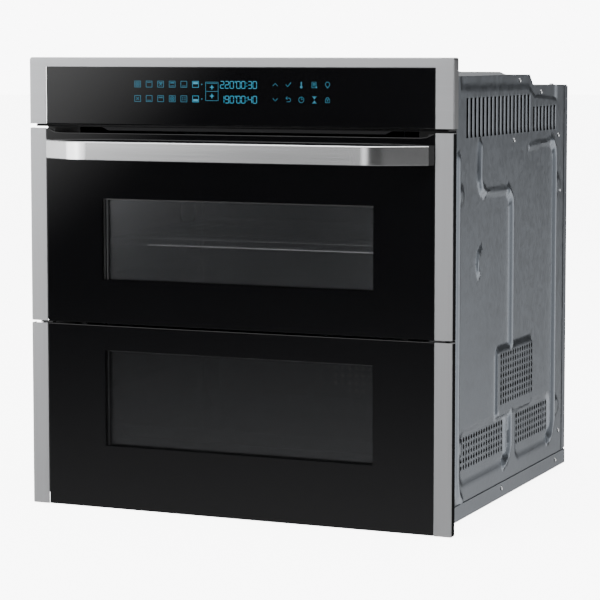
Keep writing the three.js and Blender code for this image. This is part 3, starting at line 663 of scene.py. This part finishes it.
# ---- glass panes ----
panes = {
    "near": 0.5, "far": 4.5, "edge": 0.8, "half": 272.8, "corner": 1.5, "panelCorner": 0.8, "innerCorner": 6, "middleCorner": 3,
    "shoulder": [(272.8, 503.6), (270.5, 503.2), (266.0, 501.0), (261.0, 499.0), (254.0, 498.2), (246.0, 498.0)],
    "upper": {"window": (-191.3, 191.3, 305.0, 412.3), "clear": 0.86, "middle": (193.4, 301.0, 417.0), "coat": coatedGlass},
    "lower": {"window": (-188.0, 191.0, 84.4, 211.9), "clear": 0.72, "middle": (193.4, 79.0, 216.0), "coat": paleCoatGlass},
    "middleDepth": (9.5, 12.5),
}


def makePane(name, outline, material, body, nodes, slotName, near=panes["near"], far=panes["far"]):
    makePiece(name, [pressedPlate(outline, near, far, panes["edge"])], material, body, nodes)


def makePanes():
    # the control glass, then for each door half the backed outer pane, a coated middle pane and the inner pane
    d, wide = panes, panes["half"]
    outline = roundedRect(-wide, wide, *boxHeights("control_glass"), d["panelCorner"], 2)
    makePane("controlPanelGlass", outline, panelGlass, "chassis", ["control_glass"], "black_glass")
    for half in ("lower", "upper"):
        own, body, outer, inner = d[half], half + "_door", half + "_outer_glass", half + "_inner_glass"
        outline = roundedRect(-wide, wide, *boxHeights(outer), d["corner"])
        if half == "upper":  # the top edge is cut down before the handle and rises at both shoulders
            foot, right = outline[outline[:, 1] < boxHeights(outer)[0] + 10], np.array(d["shoulder"])
            outline = np.concatenate([foot, right, (right * [-1, 1])[::-1]])
        glass = windowedGlass(half + "DoorGlass", tuple(v * mm for v in own["window"]), own["clear"])
        makePane(half + "DoorPane", outline, glass, body, [outer], "black_glass")
        x, z0, z1 = own["middle"]
        outline = roundedRect(-x, x, z0, z1, d["middleCorner"])
        makePane(half + "MiddlePane", outline, own["coat"], body, (), "clear_glass", *d["middleDepth"])
        low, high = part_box(inner)
        outline = roundedRect(low.x / mm, high.x / mm, low.z / mm, high.z / mm, d["innerCorner"])
        makePane(half + "InnerPane", outline, innerGlass, body, [inner], "clear_glass", (low.y - frontY) / mm, (high.y - frontY) / mm)


makePanes()
print("panes made")

# ---- bow handle ----
handle = {
    "reach": 44.0, "flatHalf": 205.0, "endHalf": 268.0, "endReach": 9.5, "bend": 70.0, "thick": 8.5, "edge": 1.6,
    "postX": 254.0, "postRadius": 6.5, "footRadius": 8.1,
}


def filletedPath(corners, radius, steps=8):
    # a polyline whose inner corners are replaced by arcs of the given radius
    corners = np.asarray(corners, float)
    points = [corners[:1]]
    for before, corner, after in zip(corners[:-2], corners[1:-1], corners[2:]):
        a, b = before - corner, after - corner
        a, b = a / np.linalg.norm(a), b / np.linalg.norm(b)
        angle = math.acos(np.clip(a @ b, -1, 1))
        reach = radius / math.tan(angle / 2)
        centre = corner + (a + b) / np.linalg.norm(a + b) * radius / math.sin(angle / 2)
        first, last = corner + a * reach - centre, corner + b * reach - centre
        t = np.linspace(0, 1, steps)[:, None]
        sweep = math.pi - angle
        points.append(centre + (first * np.sin((1 - t) * sweep) + last * np.sin(t * sweep)) / math.sin(sweep))
    return np.concatenate(points + [corners[-1:]])


def flatBar(path, section):
    # a section of (depth from the outer face, height) pairs carried along a plan path with its own normals
    ahead = np.gradient(path, axis=0)
    ahead /= np.linalg.norm(ahead, axis=1, keepdims=True)
    normal = np.stack([-ahead[:, 1], ahead[:, 0]], 1)
    xy = path[:, None] + normal[:, None] * section[None, :, :1]
    return lofted(spot(xy[..., 0], xy[..., 1], section[None, :, 1]))


def makeHandle():
    # a flat bar bent back at both ends, with a round post and its foot behind each end
    d, (z0, z1) = handle, boxHeights("handle_bar")
    corners = [(-d["endHalf"], -d["endReach"]), (-d["flatHalf"] - 4, -d["reach"])]
    corners += [(-x, y) for x, y in corners[::-1]]
    parts = [flatBar(filletedPath(corners, d["bend"], 12), roundedRect(0, d["thick"], z0, z1, d["edge"]))]
    profile = [(d["postRadius"], -11), (d["postRadius"], -1.2), (d["footRadius"], -0.9), (d["footRadius"], 0.4)]
    parts += [turned(profile, spot(side * d["postX"], 0, (z0 + z1) / 2), "y", 28) for side in (-1, 1)]
    makePiece("handleBar", parts, handleSteel, "upper_door", ["handle_bar"], 30)


makeHandle()
print("handle made")

# ---- air outlet below the control panel ----
airOutlet = {"lip": [(-289, 509), (289, 509), (289, 505.8), (216, 505.8), (206, 501.2), (-182, 501.2), (-192, 505.8), (-289, 505.8)],
             "near": 3.0, "far": 6.0, "edge": 0.5}
outletLip = pressedPlate(*(airOutlet[key] for key in ("lip", "near", "far", "edge")))
makePiece("airOutletLip", [outletLip], blackPlastic, "chassis", ())

# ---- lit marks on the control panel ----
marks = {
    "near": 0.36, "far": 0.52, "stroke": 0.55, "rows": (562.3, 543.6), "color": (0.03, 0.42, 0.66),
    "modeFirst": -137.4, "modePitch": 16.67, "modeSize": (8.6, 7.8), "zoneBox": (-39.7, -22.0, 541.6, 565.2),
    "digitHigh": 8.8, "digitWide": 5.0, "digitStroke": 0.8, "digitStart": -16.3, "digitPitch": 6.75, "signPitch": 2.6,
    "keysFirst": 57.8, "keysPitch": 17.9,
}


def prism(outline, near, far):
    # an outline carried straight through its depth
    outline = np.asarray(outline, float)
    return lofted(np.stack([spot(outline[:, 0], y, outline[:, 1]) for y in (near, far)]))


def stroke(path, wide):
    # a line of even width as a flat outline, its two sides set off along the path's normals
    path = np.asarray(path, float)
    ahead = np.gradient(path, axis=0) if len(path) > 2 else np.repeat(np.diff(path, axis=0), 2, 0)
    ahead /= np.linalg.norm(ahead, axis=1, keepdims=True)
    normal = np.stack([-ahead[:, 1], ahead[:, 0]], 1) * wide / 2
    path[0] -= ahead[0] * wide / 2
    path[-1] += ahead[-1] * wide / 2
    return np.concatenate([path + normal, (path - normal)[::-1]])


def arc(cx, cz, radius, start, end, steps=14):
    # points of a circle between two angles in degrees
    turn = np.radians(np.linspace(start, end, steps))
    return np.stack([cx + radius * np.cos(turn), cz + radius * np.sin(turn)], 1)


def digitBars(value, x, z, d):
    # seven bars with pointed ends; each digit lights its own set
    lit = {"0": "abcdef", "1": "bc", "2": "abged", "3": "abgcd", "4": "fgbc", "9": "abcdfg"}[value]
    w, h, thick = d["digitWide"] / 2, d["digitHigh"] / 2, d["digitStroke"]
    ends = {"a": (-w, h, w, h), "g": (-w, 0, w, 0), "d": (-w, -h, w, -h), "f": (-w, 0, -w, h), "b": (w, 0, w, h),
            "e": (-w, -h, -w, 0), "c": (w, -h, w, 0)}
    bars = []
    for key in lit:
        a, b = np.array(ends[key], float).reshape(2, 2)
        along = (b - a) / np.linalg.norm(b - a)
        across, tip, gap = np.array([-along[1], along[0]]) * thick / 2, along * thick * 0.3, along * thick * 0.62
        a, b = a + gap, b - gap
        bars.append(np.array([a - tip, a - across, b - across, b + tip, b + across, a + across]) + [x, z])
    return bars


def loopLines(x0, x1, z0, z1, wide):
    # the four sides of a rectangle as separate strokes
    corners = [(x0, z0), (x0, z1), (x1, z1), (x1, z0), (x0, z0)]
    return [stroke(pair, wide) for pair in zip(corners[:-1], corners[1:])]


def modeIcon(kind, x, z, d):
    # an oven outline with the heat it gives: bar above or below, grill wave, fan, ring, filled half, dots
    (w, h), s = np.array(d["modeSize"]) / 2, d["stroke"]
    wave = np.linspace(-w + 1.6, w - 1.6, 17)
    swing = np.sin(wave * 2.6)
    inside = {
        "t": [stroke([(-w + 1.8, h - 1.7), (w - 1.8, h - 1.7)], s)],
        "b": [stroke([(-w + 1.8, 1.7 - h), (w - 1.8, 1.7 - h)], s)],
        "g": [stroke(np.stack([wave, h - 2.3 + 0.8 * np.sign(swing) * np.abs(swing) ** 0.5], 1), s)],
        "f": [stroke([(-1.7, -1.7), (1.7, 1.7)], s), stroke([(-1.7, 1.7), (1.7, -1.7)], s),
              arc(0, 0, 0.8, 0, 330, 9)],
        "r": [stroke(arc(0, 0, 2.7, a, a + 76, 7), s) for a in (8, 98, 188, 278)],
        "T": [roundedRect(-w + 0.9, w - 0.9, 0.3, h - 0.9, 0.3, 2)],
        "B": [roundedRect(-w + 0.9, w - 0.9, 0.9 - h, -0.3, 0.3, 2)],
        "d": [roundedRect(px - 0.6, px + 0.6, pz - 0.6, pz + 0.6, 0.25, 2) for px in (-1.6, 1.6) for pz in (-1.3, 1.3)],
    }
    outlines = loopLines(-w, w, -h, h, s) + [outline for letter in inside if letter in kind for outline in inside[letter]]
    return [np.asarray(outline) + [x, z] for outline in outlines]


def keyIcon(kind, x, z, s):
    # the outlines of one key's sign, s is the width of its strokes
    lines = {
        "up": [stroke([(-3.2, -1.4), (0, 1.8), (3.2, -1.4)], s)],
        "down": [stroke([(-3.2, 1.4), (0, -1.8), (3.2, 1.4)], s)],
        "tick": [stroke([(-3.0, 0.2), (-0.8, -2.2), (3.4, 2.6)], s * 1.3)],
        "back": [stroke(np.concatenate([[(-3.0, 2.0), (0.9, 2.0)], arc(0.9, -0.3, 2.3, 85, -88, 10), [(-2.0, -2.6)]]), s),
                 stroke([(-1.4, 3.7), (-3.2, 2.0), (-1.4, 0.3)], s)],
        "heat": [roundedRect(-0.8, 0.8, -1.2, 4.0, 0.7, 4), arc(0, -2.6, 1.7, 0, 345, 16)],
        "clock": [stroke(arc(0, 0, 3.5, 0, 358, 30), s), stroke([(0, 2.4), (0, 0), (2.0, 0.9)], s)],
        "list": [stroke([(-3.4, -3.4), (-3.4, 3.6), (2.4, 3.6), (2.4, -1.0)], s), stroke([(-3.4, -3.4), (0.4, -3.4)], s),
                 *[stroke([(-2.0, y), (1.2, y)], s * 1.2) for y in (2.0, 0.5, -1.0)], arc(2.6, -2.8, 1.2, 0, 330, 9)],
        "glass": [np.array([(-2.3, 4.0), (2.3, 4.0), (0, 0.5)]), np.array([(-2.3, -4.0), (0, -0.5), (2.3, -4.0)]),
                  stroke([(-2.8, 4.1), (2.8, 4.1)], s), stroke([(-2.8, -4.1), (2.8, -4.1)], s)],
        "lamp": [stroke(arc(0, 0.9, 2.9, -60, 240, 20), s), stroke([(-1.2, -2.4), (1.2, -2.4)], s),
                 stroke([(-0.9, -3.4), (0.9, -3.4)], s)],
        "lock": [stroke([(-2.8, -3.2), (-2.8, 1.0), (2.8, 1.0), (2.8, -3.2), (-2.8, -3.2)], s),
                 stroke(arc(0, 1.2, 2.0, 5, 175, 12), s), arc(0, -0.9, 0.8, 0, 330, 9)],
    }[kind]
    return [np.asarray(o) + [x, z] for o in lines]


def makeMarks():
    # the lit signs of the panel: cooking modes, the two zones, the two lines of digits and the keys
    d, (x0, x1, z0, z1) = marks, marks["zoneBox"]
    bright, dim = [], []
    for kinds, z in zip((("fr", "t", "gf", "tgb", "b", "T"), ("f", "b", "g", "fr", "d", "B")), d["rows"]):
        for column, kind in enumerate(kinds):
            x = d["modeFirst"] + column * d["modePitch"]
            (bright if kind in "TB" else dim).extend(modeIcon(kind, x, z, d))
        dim.append(np.array([(x + 8.3, z - 1.1), (x + 10.1, z), (x + 8.3, z + 1.1)]))  # a pointer after the last mode
    x, middle = (x0 + x1) / 2, (z0 + z1) / 2
    dim += loopLines(x0, x1, z0, z1, d["stroke"])
    dim += [stroke(p, d["stroke"]) for p in (((x0, middle), (x1, middle)), ((x0 + 1.5, z1 - 1.6), (x1 - 1.5, z1 - 1.6)))]
    for z in ((z0 + middle) / 2, (z1 + middle) / 2 - 0.6):
        bright += [stroke([(x - 2.4, z), (x + 2.4, z)], 0.9), stroke([(x, z - 2.4), (x, z + 2.4)], 0.9), arc(x, z, 1.5, 0, 330, 11)]
    for text, z in zip(("220o00:30", "190o00:40"), d["rows"]):
        x = d["digitStart"]
        for sign in text:
            if sign == "o":
                bright.append(stroke(arc(x - 1.6, z + 3.4, 0.9, 0, 350, 12), 0.5))
            elif sign == ":":
                bright += [roundedRect(x - 2.2, x - 1.2, z + k - 0.5, z + k + 0.5, 0.3, 2) for k in (-1.9, 1.9)]
            else:
                bright += digitBars(sign, x, z - 0.4, d)
            x += d["signPitch"] if sign in "o:" else d["digitPitch"]
    for keys, z in zip((("up", "tick", "heat", "list", "lamp"), ("down", "back", "clock", "glass", "lock")), d["rows"]):
        for column, kind in enumerate(keys):
            dim += keyIcon(kind, d["keysFirst"] + column * d["keysPitch"], z, d["stroke"])
    for name, outlines, strength in (("displayMarksBright", bright, 0.85), ("displayMarksDim", dim, 0.42)):
        makePiece(name, [prism(o, d["near"], d["far"]) for o in outlines], litMark(name, d["color"], strength), "chassis", ())


makeMarks()
print("marks made")


# ---- roof and rear sheets ----
roof = {
    "half": 276.0, "spacing": 5.0, "flange": 16.0, "field": ((-250, 250, 58, 346), 14, 9, 3.8), "node": "top_panel",
    "beads": [[(-230, 430), (-150, 430)], [(150, 430), (230, 430)], [(-230, 500), (230, 500)],
              [(-190, 90), (-190, 310)], [(190, 90), (190, 310)]],
    "vents": [(-115.0, 15, 16.0, 7.0, 446.0, 476.0)],
    "screws": [(-262, 60), (262, 60), (-262, 520), (262, 520), (0, 520), (0, 46)],
}
rear = {
    "half": 279.0, "bottom": 28.5, "top": 555.0, "y": 545.0, "spacing": 5.0, "flange": 16.0, "node": "rear_panel",
    "field": ((-190, 190, 90, 500), 20, 14, 21.0),
    "beads": [[(-165, z), (165, z)] for z in (130, 190, 250, 310, 370)] + [[(x, 120), (x, 480)] for x in (-235, 235)],
    "vents": [(-150.0, 25, 12.0, 7.0, 430.0, 452.0), (-222.0, 30, 15.0, 9.0, 526.0, 531.0)],
    "screws": [(x, z) for x in (-266, 266) for z in (50, 190, 350, 535)] + [(-90, 538), (90, 538), (-90, 45), (90, 45),
                                                                         (-200, 75), (200, 75)],
    "baseLip": (277.0, 7.5, 31.0), "baseLipDepth": (542.2, 543.4, 0.4),
}
beadShape = (6.0, 2.2)  # half width and height


def pressedField(u, v, d):
    # the raised field plus the beads
    box, corner, *rise = d["field"]
    height = terrace(rectDistance(u, v, box, corner), *rise)
    for path in d["beads"]:
        height = height + bead(distanceToPath(u, v, path), *beadShape)
    return height


def makeSheet(name, d, low, high, special, place, axis, sign, material):
    # a pressed sheet over v from low to high whose outer rows and columns fold back by the flange
    slots = [s for vents in d["vents"] for s in slotRow(*vents)]
    us = latticeLines(-d["half"], d["half"], d["spacing"], [u for s in slots for u in s[:2]])
    vs = latticeLines(low, high, d["spacing"], [*special, *(v for s in slots for v in s[2:4])])
    us, vs = (np.concatenate([[s[0] - d["flange"]], s, [s[-1] + d["flange"]]]) for s in (us, vs))

    def clipped(u, v):
        return np.clip(u, -d["half"], d["half"]), np.clip(v, low, high)

    def folded(u, v, h):
        uIn, vIn = clipped(u, v)
        return place(uIn, vIn, h - np.abs(u - uIn) - np.abs(v - vIn))

    sheet = stampedSheet(us, vs, folded, lambda u, v: pressedField(*clipped(u, v), d), slots, flip=sign < 0)
    makePiece(name, [sheet], material, "chassis", [d["node"]], 40)
    heads = [panHead(place(u, v, pressedField(np.array(float(u)), np.array(float(v)), d)), axis, 1) for u, v in d["screws"]]
    makePiece(name + "Screws", heads, screwMetal, "chassis", ())


# the roof takes the lighter zinc: painted light from above
makeSheet("roofSheet", roof, case["front"], case["rear"], [case["stepFront"], case["stepRear"]],
          lambda x, y, h: spot(x, y, roofHeight(y) + h), "z", 1, litZincRoof)
makeSheet("rearSheet", rear, rear["bottom"], rear["top"], [], lambda x, z, h: spot(x, rear["y"] + h, z), "y", -1, zinc)
lipHalf, *lipLevels = rear["baseLip"]
baseLip = pressedPlate(roundedRect(-lipHalf, lipHalf, *lipLevels, 1.5), *rear["baseLipDepth"])
makePiece("baseRearLip", [baseLip], zinc, "chassis", ())
print("roof and rear made")

# ---- cavity fittings ----
racks = {"rows": (100, 150, 198, 248, 300, 352, 400), "x": 223.5, "postX": 228.3, "radius": 2.6, "y": (76, 84, 386, 394),
         "postY": (85, 385), "postZ": (80.5, 424.5)}
shelf = {"half": 219.3, "front": 62.2, "rear": 399.8, "z": 358.3, "corner": 16, "rim": 2.6, "wire": 1.5, "wires": 15,
         "pitch": 28.0, "lipHalf": 200, "lipZ": 348.2, "lipY": 66.0, "lip": 1.9, "crossY": (150.0, 310.0), "cross": 2.2}
heaters = {"grill": (430.0, 139, 80, 419), "base": (55.4, 149, 90.5, 439), "radius": 3.2, "legX": 30, "legBack": 60,
           "ring": 78, "ringY": 438.0, "ringRadius": 2.8}
fanZ = {"lower": 155.5, "upper": 348.5}
fanCover = {"half": 178.0, "low": 68.0, "high": 436.0, "y": 424.2, "back": 445.6, "pitch": 11.0, "hole": 6.2, "reach": 4,
            "slotX": 140, "slotHalf": (12, 3), "slotPitch": 18, "spacing": 9.0, "rim": 3, "rimDrop": 1.2, "fold": 24.4}
tray = {"half": 222.6, "front": 60.4, "rear": 399.6, "top": 104.2, "pan": (-211, 211, 71, 389), "corner": 16, "slope": 10,
        "deep": 20.2, "roll": 1.3}
seal = {"ring": (-245.4, 245.4, 48.6, 455.4, 18, 6), "y": 31.5, "radius": 1.15, "wide": 3.7}
dividerPlate = {"outline": (-222, 222, 44, 420, 10), "levels": (251.4, 257.2), "edge": 2.6}
lamp = {"profile": [(22, -231.6), (22, -228.5), (21, -226.8), (17, -225.4), (10, -224.4), (4, -224.1)], "place": (0, 340, 376)}
# black sheets behind the side louvres: painted shade in the slots
slotShadeSheet = {"outline": (60, 520, 486, 553, 4), "x": (262.0, 263.0), "edge": 0.3}


def makeRacks(side, name, node):
    # level rails that bend out to two upright posts at the cavity wall
    d, (y0, y1, y2, y3) = racks, racks["y"]
    path = filletedPath([(d["postX"], y0), (d["x"], y1), (d["x"], y2), (d["postX"], y3)], 8, 5)
    lines = [spot(side * path[:, 0], path[:, 1], z) for z in d["rows"]]
    lines += [spot(side * d["postX"], y, np.array(d["postZ"])) for y in d["postY"]]
    makePiece(name, [tube(line, d["radius"]) for line in lines], wireChrome, "chassis", [node], 40)


def makeShelf():
    # a closed rim, wires from front to rear, a lowered front lip and two cross wires below
    d, z, half = shelf, shelf["z"], shelf["half"]
    rim = roundedRect(-half, half, d["front"], d["rear"], d["corner"], 6)
    parts = [tube(spot(rim[:, 0], rim[:, 1], z), d["rim"], closed=True)]
    for i in range(d["wires"]):
        x = (i - (d["wires"] - 1) / 2) * d["pitch"]
        parts.append(tube(spot(x, np.array([d["front"], d["rear"]]), z), d["wire"], 8))
    reach = d["lipHalf"]
    lip = filletedPath([(-reach, z), (-reach, d["lipZ"]), (reach, d["lipZ"]), (reach, z)], 6, 5)
    parts.append(tube(spot(lip[:, 0], d["lipY"], lip[:, 1]), d["lip"], 8))
    parts += [tube(spot(np.array([-half, half]), y, z - d["rim"]), d["cross"], 8) for y in d["crossY"]]
    makePiece("wireShelfRack", parts, wireChrome, "wire_shelf", ["wire_shelf"], 40)


def makeHeaters():
    # grill and base: one tube wound forwards and back on both sides; a ring round each fan
    d = heaters
    for kind in ("grill", "base"):
        z, wide, front, back = d[kind]
        step, near, leg = wide / 2.5, back - d["legBack"], d["legX"]
        corners = [(-leg, back), (-leg, near), (-wide, near), (-wide, front), (-wide + step, front), (-wide + step, near - 45),
                   (-wide + 2 * step, near - 45), (-wide + 2 * step, front)]
        path = filletedPath(corners + [(-x, y) for x, y in corners[::-1]], 14, 7)
        winding = tube(spot(path[:, 0], path[:, 1], z), d["radius"], 12)
        makePiece(kind + "Heater", [winding], heaterSteel, "chassis", [kind + "_element"], 40)
    turn = np.linspace(0, 2 * math.pi, 65)[:-1]
    for half, z in fanZ.items():
        ring = spot(d["ring"] * np.cos(turn), d["ringY"], z + d["ring"] * np.sin(turn))
        makePiece(half + "RingHeater", [tube(ring, d["ringRadius"], closed=True)], heaterSteel, "chassis",
                  ["ring_element_" + half], 40)


def makeFanCover():
    # a flat cover with folded rims; round holes fill a circle before each fan and slots run down both sides
    d, r, rim = fanCover, fanCover["hole"] / 2, fanCover["rim"]
    steps, (slotWide, slotHigh) = range(-d["reach"], d["reach"] + 1), d["slotHalf"]
    holes = []
    for z in fanZ.values():
        centres = [(i * d["pitch"], z + j * d["pitch"]) for i in steps for j in steps if math.hypot(i, j) < d["reach"] + 0.4]
        holes += [(x - r, x + r, level - r, level + r, True) for x, level in centres]
        centres = [(side * d["slotX"], z + k * d["slotPitch"]) for side in (-1, 1) for k in range(-3, 4)]
        holes += [(x - slotWide, x + slotWide, level - slotHigh, level + slotHigh, False) for x, level in centres]
    middles = [z + j * d["pitch"] for z in fanZ.values() for j in steps]
    us = latticeLines(-d["half"] + rim, d["half"] - rim, d["spacing"], [u for s in holes for u in s[:2]] + [i * d["pitch"] for i in steps])
    vs = latticeLines(d["low"] + rim, d["high"] - rim, d["spacing"], [v for s in holes for v in s[2:4]] + middles)
    us, vs = (np.concatenate([[s[0] - d["fold"], s[0] - rim], s, [s[-1] + rim, s[-1] + d["fold"]]]) for s in (us, vs))

    def place(u, v, h):
        uIn, vIn = np.clip(u, -d["half"], d["half"]), np.clip(v, d["low"], d["high"])
        inside = np.minimum(np.minimum(d["half"] - np.abs(uIn), vIn - d["low"]), d["high"] - vIn)
        deep = np.maximum(np.abs(u - uIn), np.abs(v - vIn)) + d["rimDrop"] * np.clip(1 - inside / rim, 0, 1)
        return spot(uIn, np.minimum(d["y"] + deep + h, d["back"]), vIn)

    sheet = stampedSheet(us, vs, place, lambda u, v: np.zeros_like(u), holes)
    makePiece("fanCoverPlate", [sheet], enamel, "chassis", ["fan_cover"], 40)


def makeTray():
    # a rolled flange round a pressed pan; the depth grows smoothly from the rim inwards
    d = tray
    us, vs = latticeLines(-d["half"], d["half"], 6.0), latticeLines(d["front"], d["rear"], 6.0)
    sheet = stampedSheet(us, vs, lambda u, v, h: spot(u, v, d["top"] + h),
                         lambda u, v: -terrace(rectDistance(u, v, d["pan"], d["corner"]), d["slope"], d["deep"]))
    rim = roundedRect(-d["half"] + 1, d["half"] - 1, d["front"] + 1, d["rear"] - 1, 3, 3)
    roll = tube(spot(rim[:, 0], rim[:, 1], d["top"] - 0.4), d["roll"], 8, closed=True)
    makePiece("bakingTrayPan", [sheet, roll], enamel, "baking_tray", ["baking_tray"], 40)


def makeSmallFittings():
    # the door seal, the divider, the lamp's dome and black sheets behind the side louvres, which paint shade into the
    # slots
    ring = roundedRect(*seal["ring"])
    braid = tube(spot(ring[:, 0], seal["y"], ring[:, 1]), seal["radius"], 12, closed=True, squash=seal["wide"])
    makePiece("doorSeal", [braid], sealBraid, "chassis", ["cavity_gasket"], 60)
    plate = pressedPlate(roundedRect(*dividerPlate["outline"]), *dividerPlate["levels"], dividerPlate["edge"], "xy")
    makePiece("dividerShelf", [plate], enamel, "divider", ["divider_plate"])
    dome = turned(lamp["profile"], spot(*lamp["place"]), "x", 32)
    makePiece("lampDome", [dome], lampLensGlass, "chassis", ["lamp_lens"], 50)
    for side, name in ((1, "slotShadeSheetRight"), (-1, "slotShadeSheetLeft")):
        sheet = pressedPlate(roundedRect(*slotShadeSheet["outline"]), *sorted(side * x for x in slotShadeSheet["x"]), slotShadeSheet["edge"], "yz", 2)
        makePiece(name, [sheet], slotShadeBlack, "chassis", ())


makeRacks(1, "rackRight", "side_rack_right")
makeRacks(-1, "rackLeft", "side_rack_left")
makeShelf()
makeHeaters()
makeFanCover()
makeTray()
makeSmallFittings()
print("cavity fittings made")

# ---- retaining strips round the windows ----
retainer = {"near": 5.2, "far": 8.0, "edge": 0.25, "corner": 0.3, "upper": (191.3, 305.0, 412.3), "lower": (191.0, 84.4, 211.9)}


def makeRetainers():
    # four slim strips behind each window's edges
    d = retainer
    for half in ("upper", "lower"):
        x, z0, z1 = d[half]
        strips = [(-x, -x + 2.2, z0, z1), (-x + 4.6, -x + 6.0, z0, z1), (-x, x, z1 - 1.6, z1 + 1.0), (x - 1.2, x + 1.0, z0, z1)]
        parts = [pressedPlate(roundedRect(*strip, d["corner"], 2), d["near"], d["far"], d["edge"], steps=2) for strip in strips]
        makePiece(half + "WindowStrips", parts, retainerSteel, half + "_door", ())


makeRetainers()
print("window strips made")

# ---- stage ----
camera = {"place": (1.2467, -2.6979, 0.6040), "turn": 0.4044, "pitch": 0.0859, "lens": 139.54, "shift": -0.08}
cameraData = bpy.data.cameras.new("camera")
cameraData.lens, cameraData.sensor_width, cameraData.shift_y = camera["lens"], 36, camera["shift"]
cameraObject = bpy.data.objects.new("camera", cameraData)
cameraObject.location = (camera["place"][0], camera["place"][1] + frontY, camera["place"][2])
cameraObject.rotation_euler = (math.pi / 2 - camera["pitch"], 0, camera["turn"])
scene.collection.objects.link(cameraObject)
scene.camera = cameraObject

floor = {"radius": 30.0, "drop": -0.0005, "sides": 64, "tone": (0.86, 0.86, 0.86), "glow": 7.5}
floorTurn = np.linspace(0, 2 * math.pi, floor["sides"], endpoint=False)
floorRing = np.stack([np.cos(floorTurn), np.sin(floorTurn)], 1) * floor["radius"]
floorMesh = bpy.data.meshes.new("floor")
fillMesh(floorMesh, np.column_stack([floorRing, np.full(floor["sides"], floor["drop"])]), [np.arange(floor["sides"])[None]])
paleFloor = mottledFinish("paleFloor", floor["tone"], 0.7, 0.0, 0.02, 0.05, 3, 0, Emission_Color=(1, 1, 1, 1))
floorTree = paleFloor.node_tree
seenDirectly = floorTree.nodes.new("ShaderNodeLightPath").outputs["Is Camera Ray"]
floorGlow = mathNode(floorTree, "MULTIPLY", seenDirectly, floor["glow"])
floorTree.links.new(floorGlow, floorTree.nodes["Principled BSDF"].inputs["Emission Strength"])
floorMesh.materials.append(paleFloor)
floorObject = bpy.data.objects.new("floor", floorMesh)
scene.collection.objects.link(floorObject)
floorObject.visible_glossy = False

studio = {
    "base": 0.035, "backdrop": 9.0, "below": (-0.09, -0.26, 0.6), "deepEnd": (-0.62, -0.42), "frontOnly": (0.2, -0.5),
    "lobes": [  # direction, edge and middle as cosines, strength
        ((-0.663, -0.711, 0.233), 0.9205, 0.9563, 2.8),
        ((-0.20, -0.98, -0.03), 0.989, 0.997, 1.7),
        ((-0.927, -0.375, -0.03), 0.900, 0.980, 4.2),
        ((0.62, -0.77, 0.05), 0.940, 0.990, 0.08),
        ((-0.35, -0.50, 0.80), 0.70, 0.98, 1.6),
        ((0.97, 0.10, 0.15), 0.80, 0.98, 1.3),
        ((0.70, 0.62, -0.36), 0.82, 0.98, 3.5),
        ((0.0, 0.75, 0.66), 0.80, 0.98, 0.7),
        ((-0.80, 0.35, 0.48), 0.60, 0.98, 0.5),
    ],
}


def makeWorld(d):
    # a soft studio: each lobe is bright where the view direction comes close to its own; the floor's bounce lies low
    # in front; a camera ray sees the plain backdrop
    world = bpy.data.worlds.new("studio")
    scene.world = world
    world.use_nodes = True
    tree = world.node_tree
    tree.nodes.clear()
    direction = tree.nodes.new("ShaderNodeTexCoord").outputs["Generated"]

    def ramp(value, start, end, top=1.0):
        limits = {"From Min": start, "From Max": end, "To Max": top}
        return addNode(tree, "ShaderNodeMapRange", limits, {"Value": value}, interpolation_type="SMOOTHSTEP").outputs[0]

    total = d["base"]
    for middle, edge, core, strength in d["lobes"]:
        unit = tuple(np.array(middle) / np.linalg.norm(middle))
        near = addNode(tree, "ShaderNodeVectorMath", {1: unit}, {0: direction}, operation="DOT_PRODUCT").outputs["Value"]
        total = mathNode(tree, "ADD", ramp(near, edge, core, strength), total)
    axes = addNode(tree, "ShaderNodeSeparateXYZ", None, {0: direction}).outputs
    bounce = mathNode(tree, "MULTIPLY", ramp(axes[2], *d["deepEnd"]), ramp(axes[1], *d["frontOnly"]))
    total = mathNode(tree, "MULTIPLY_ADD", ramp(axes[2], *d["below"]), bounce, total)
    light = addNode(tree, "ShaderNodeBackground", {"Color": (1, 1, 1, 1)}, {"Strength": total})
    seen = addNode(tree, "ShaderNodeBackground", {"Color": (1, 1, 1, 1), "Strength": d["backdrop"]})
    isCamera = tree.nodes.new("ShaderNodeLightPath").outputs["Is Camera Ray"]
    pick = addNode(tree, "ShaderNodeMixShader", None, {0: isCamera, 1: light.outputs[0], 2: seen.outputs[0]})
    tree.links.new(pick.outputs[0], tree.nodes.new("ShaderNodeOutputWorld").inputs["Surface"])


def softLight(name, place, aim, size, power, spread=math.pi):
    # a rectangular lamp turned towards a point
    data = bpy.data.lights.new(name, "AREA")
    data.shape, data.size, data.size_y, data.energy, data.spread = "RECTANGLE", *size, power, spread
    lampObject = bpy.data.objects.new(name, data)
    lampObject.location = place
    lampObject.rotation_mode = "QUATERNION"
    lampObject.rotation_quaternion = (Vector(aim) - Vector(place)).to_track_quat("-Z", "Y")
    lampObject.visible_camera = False
    scene.collection.objects.link(lampObject)


makeWorld(studio)
softLight("overhead", (0.2, -0.6, 3.2), (0, 0, 0.3), (3.2, 3.2), 120)
gleamPlace, gleamAim = spot(20, 48, 325), spot(20, 64, 353)  # just inside the cavity, up at the shelf's front
softLight("shelfGleam", gleamPlace, gleamAim, (0.38, 0.006), 0.006, 1.4)
print("stage made")
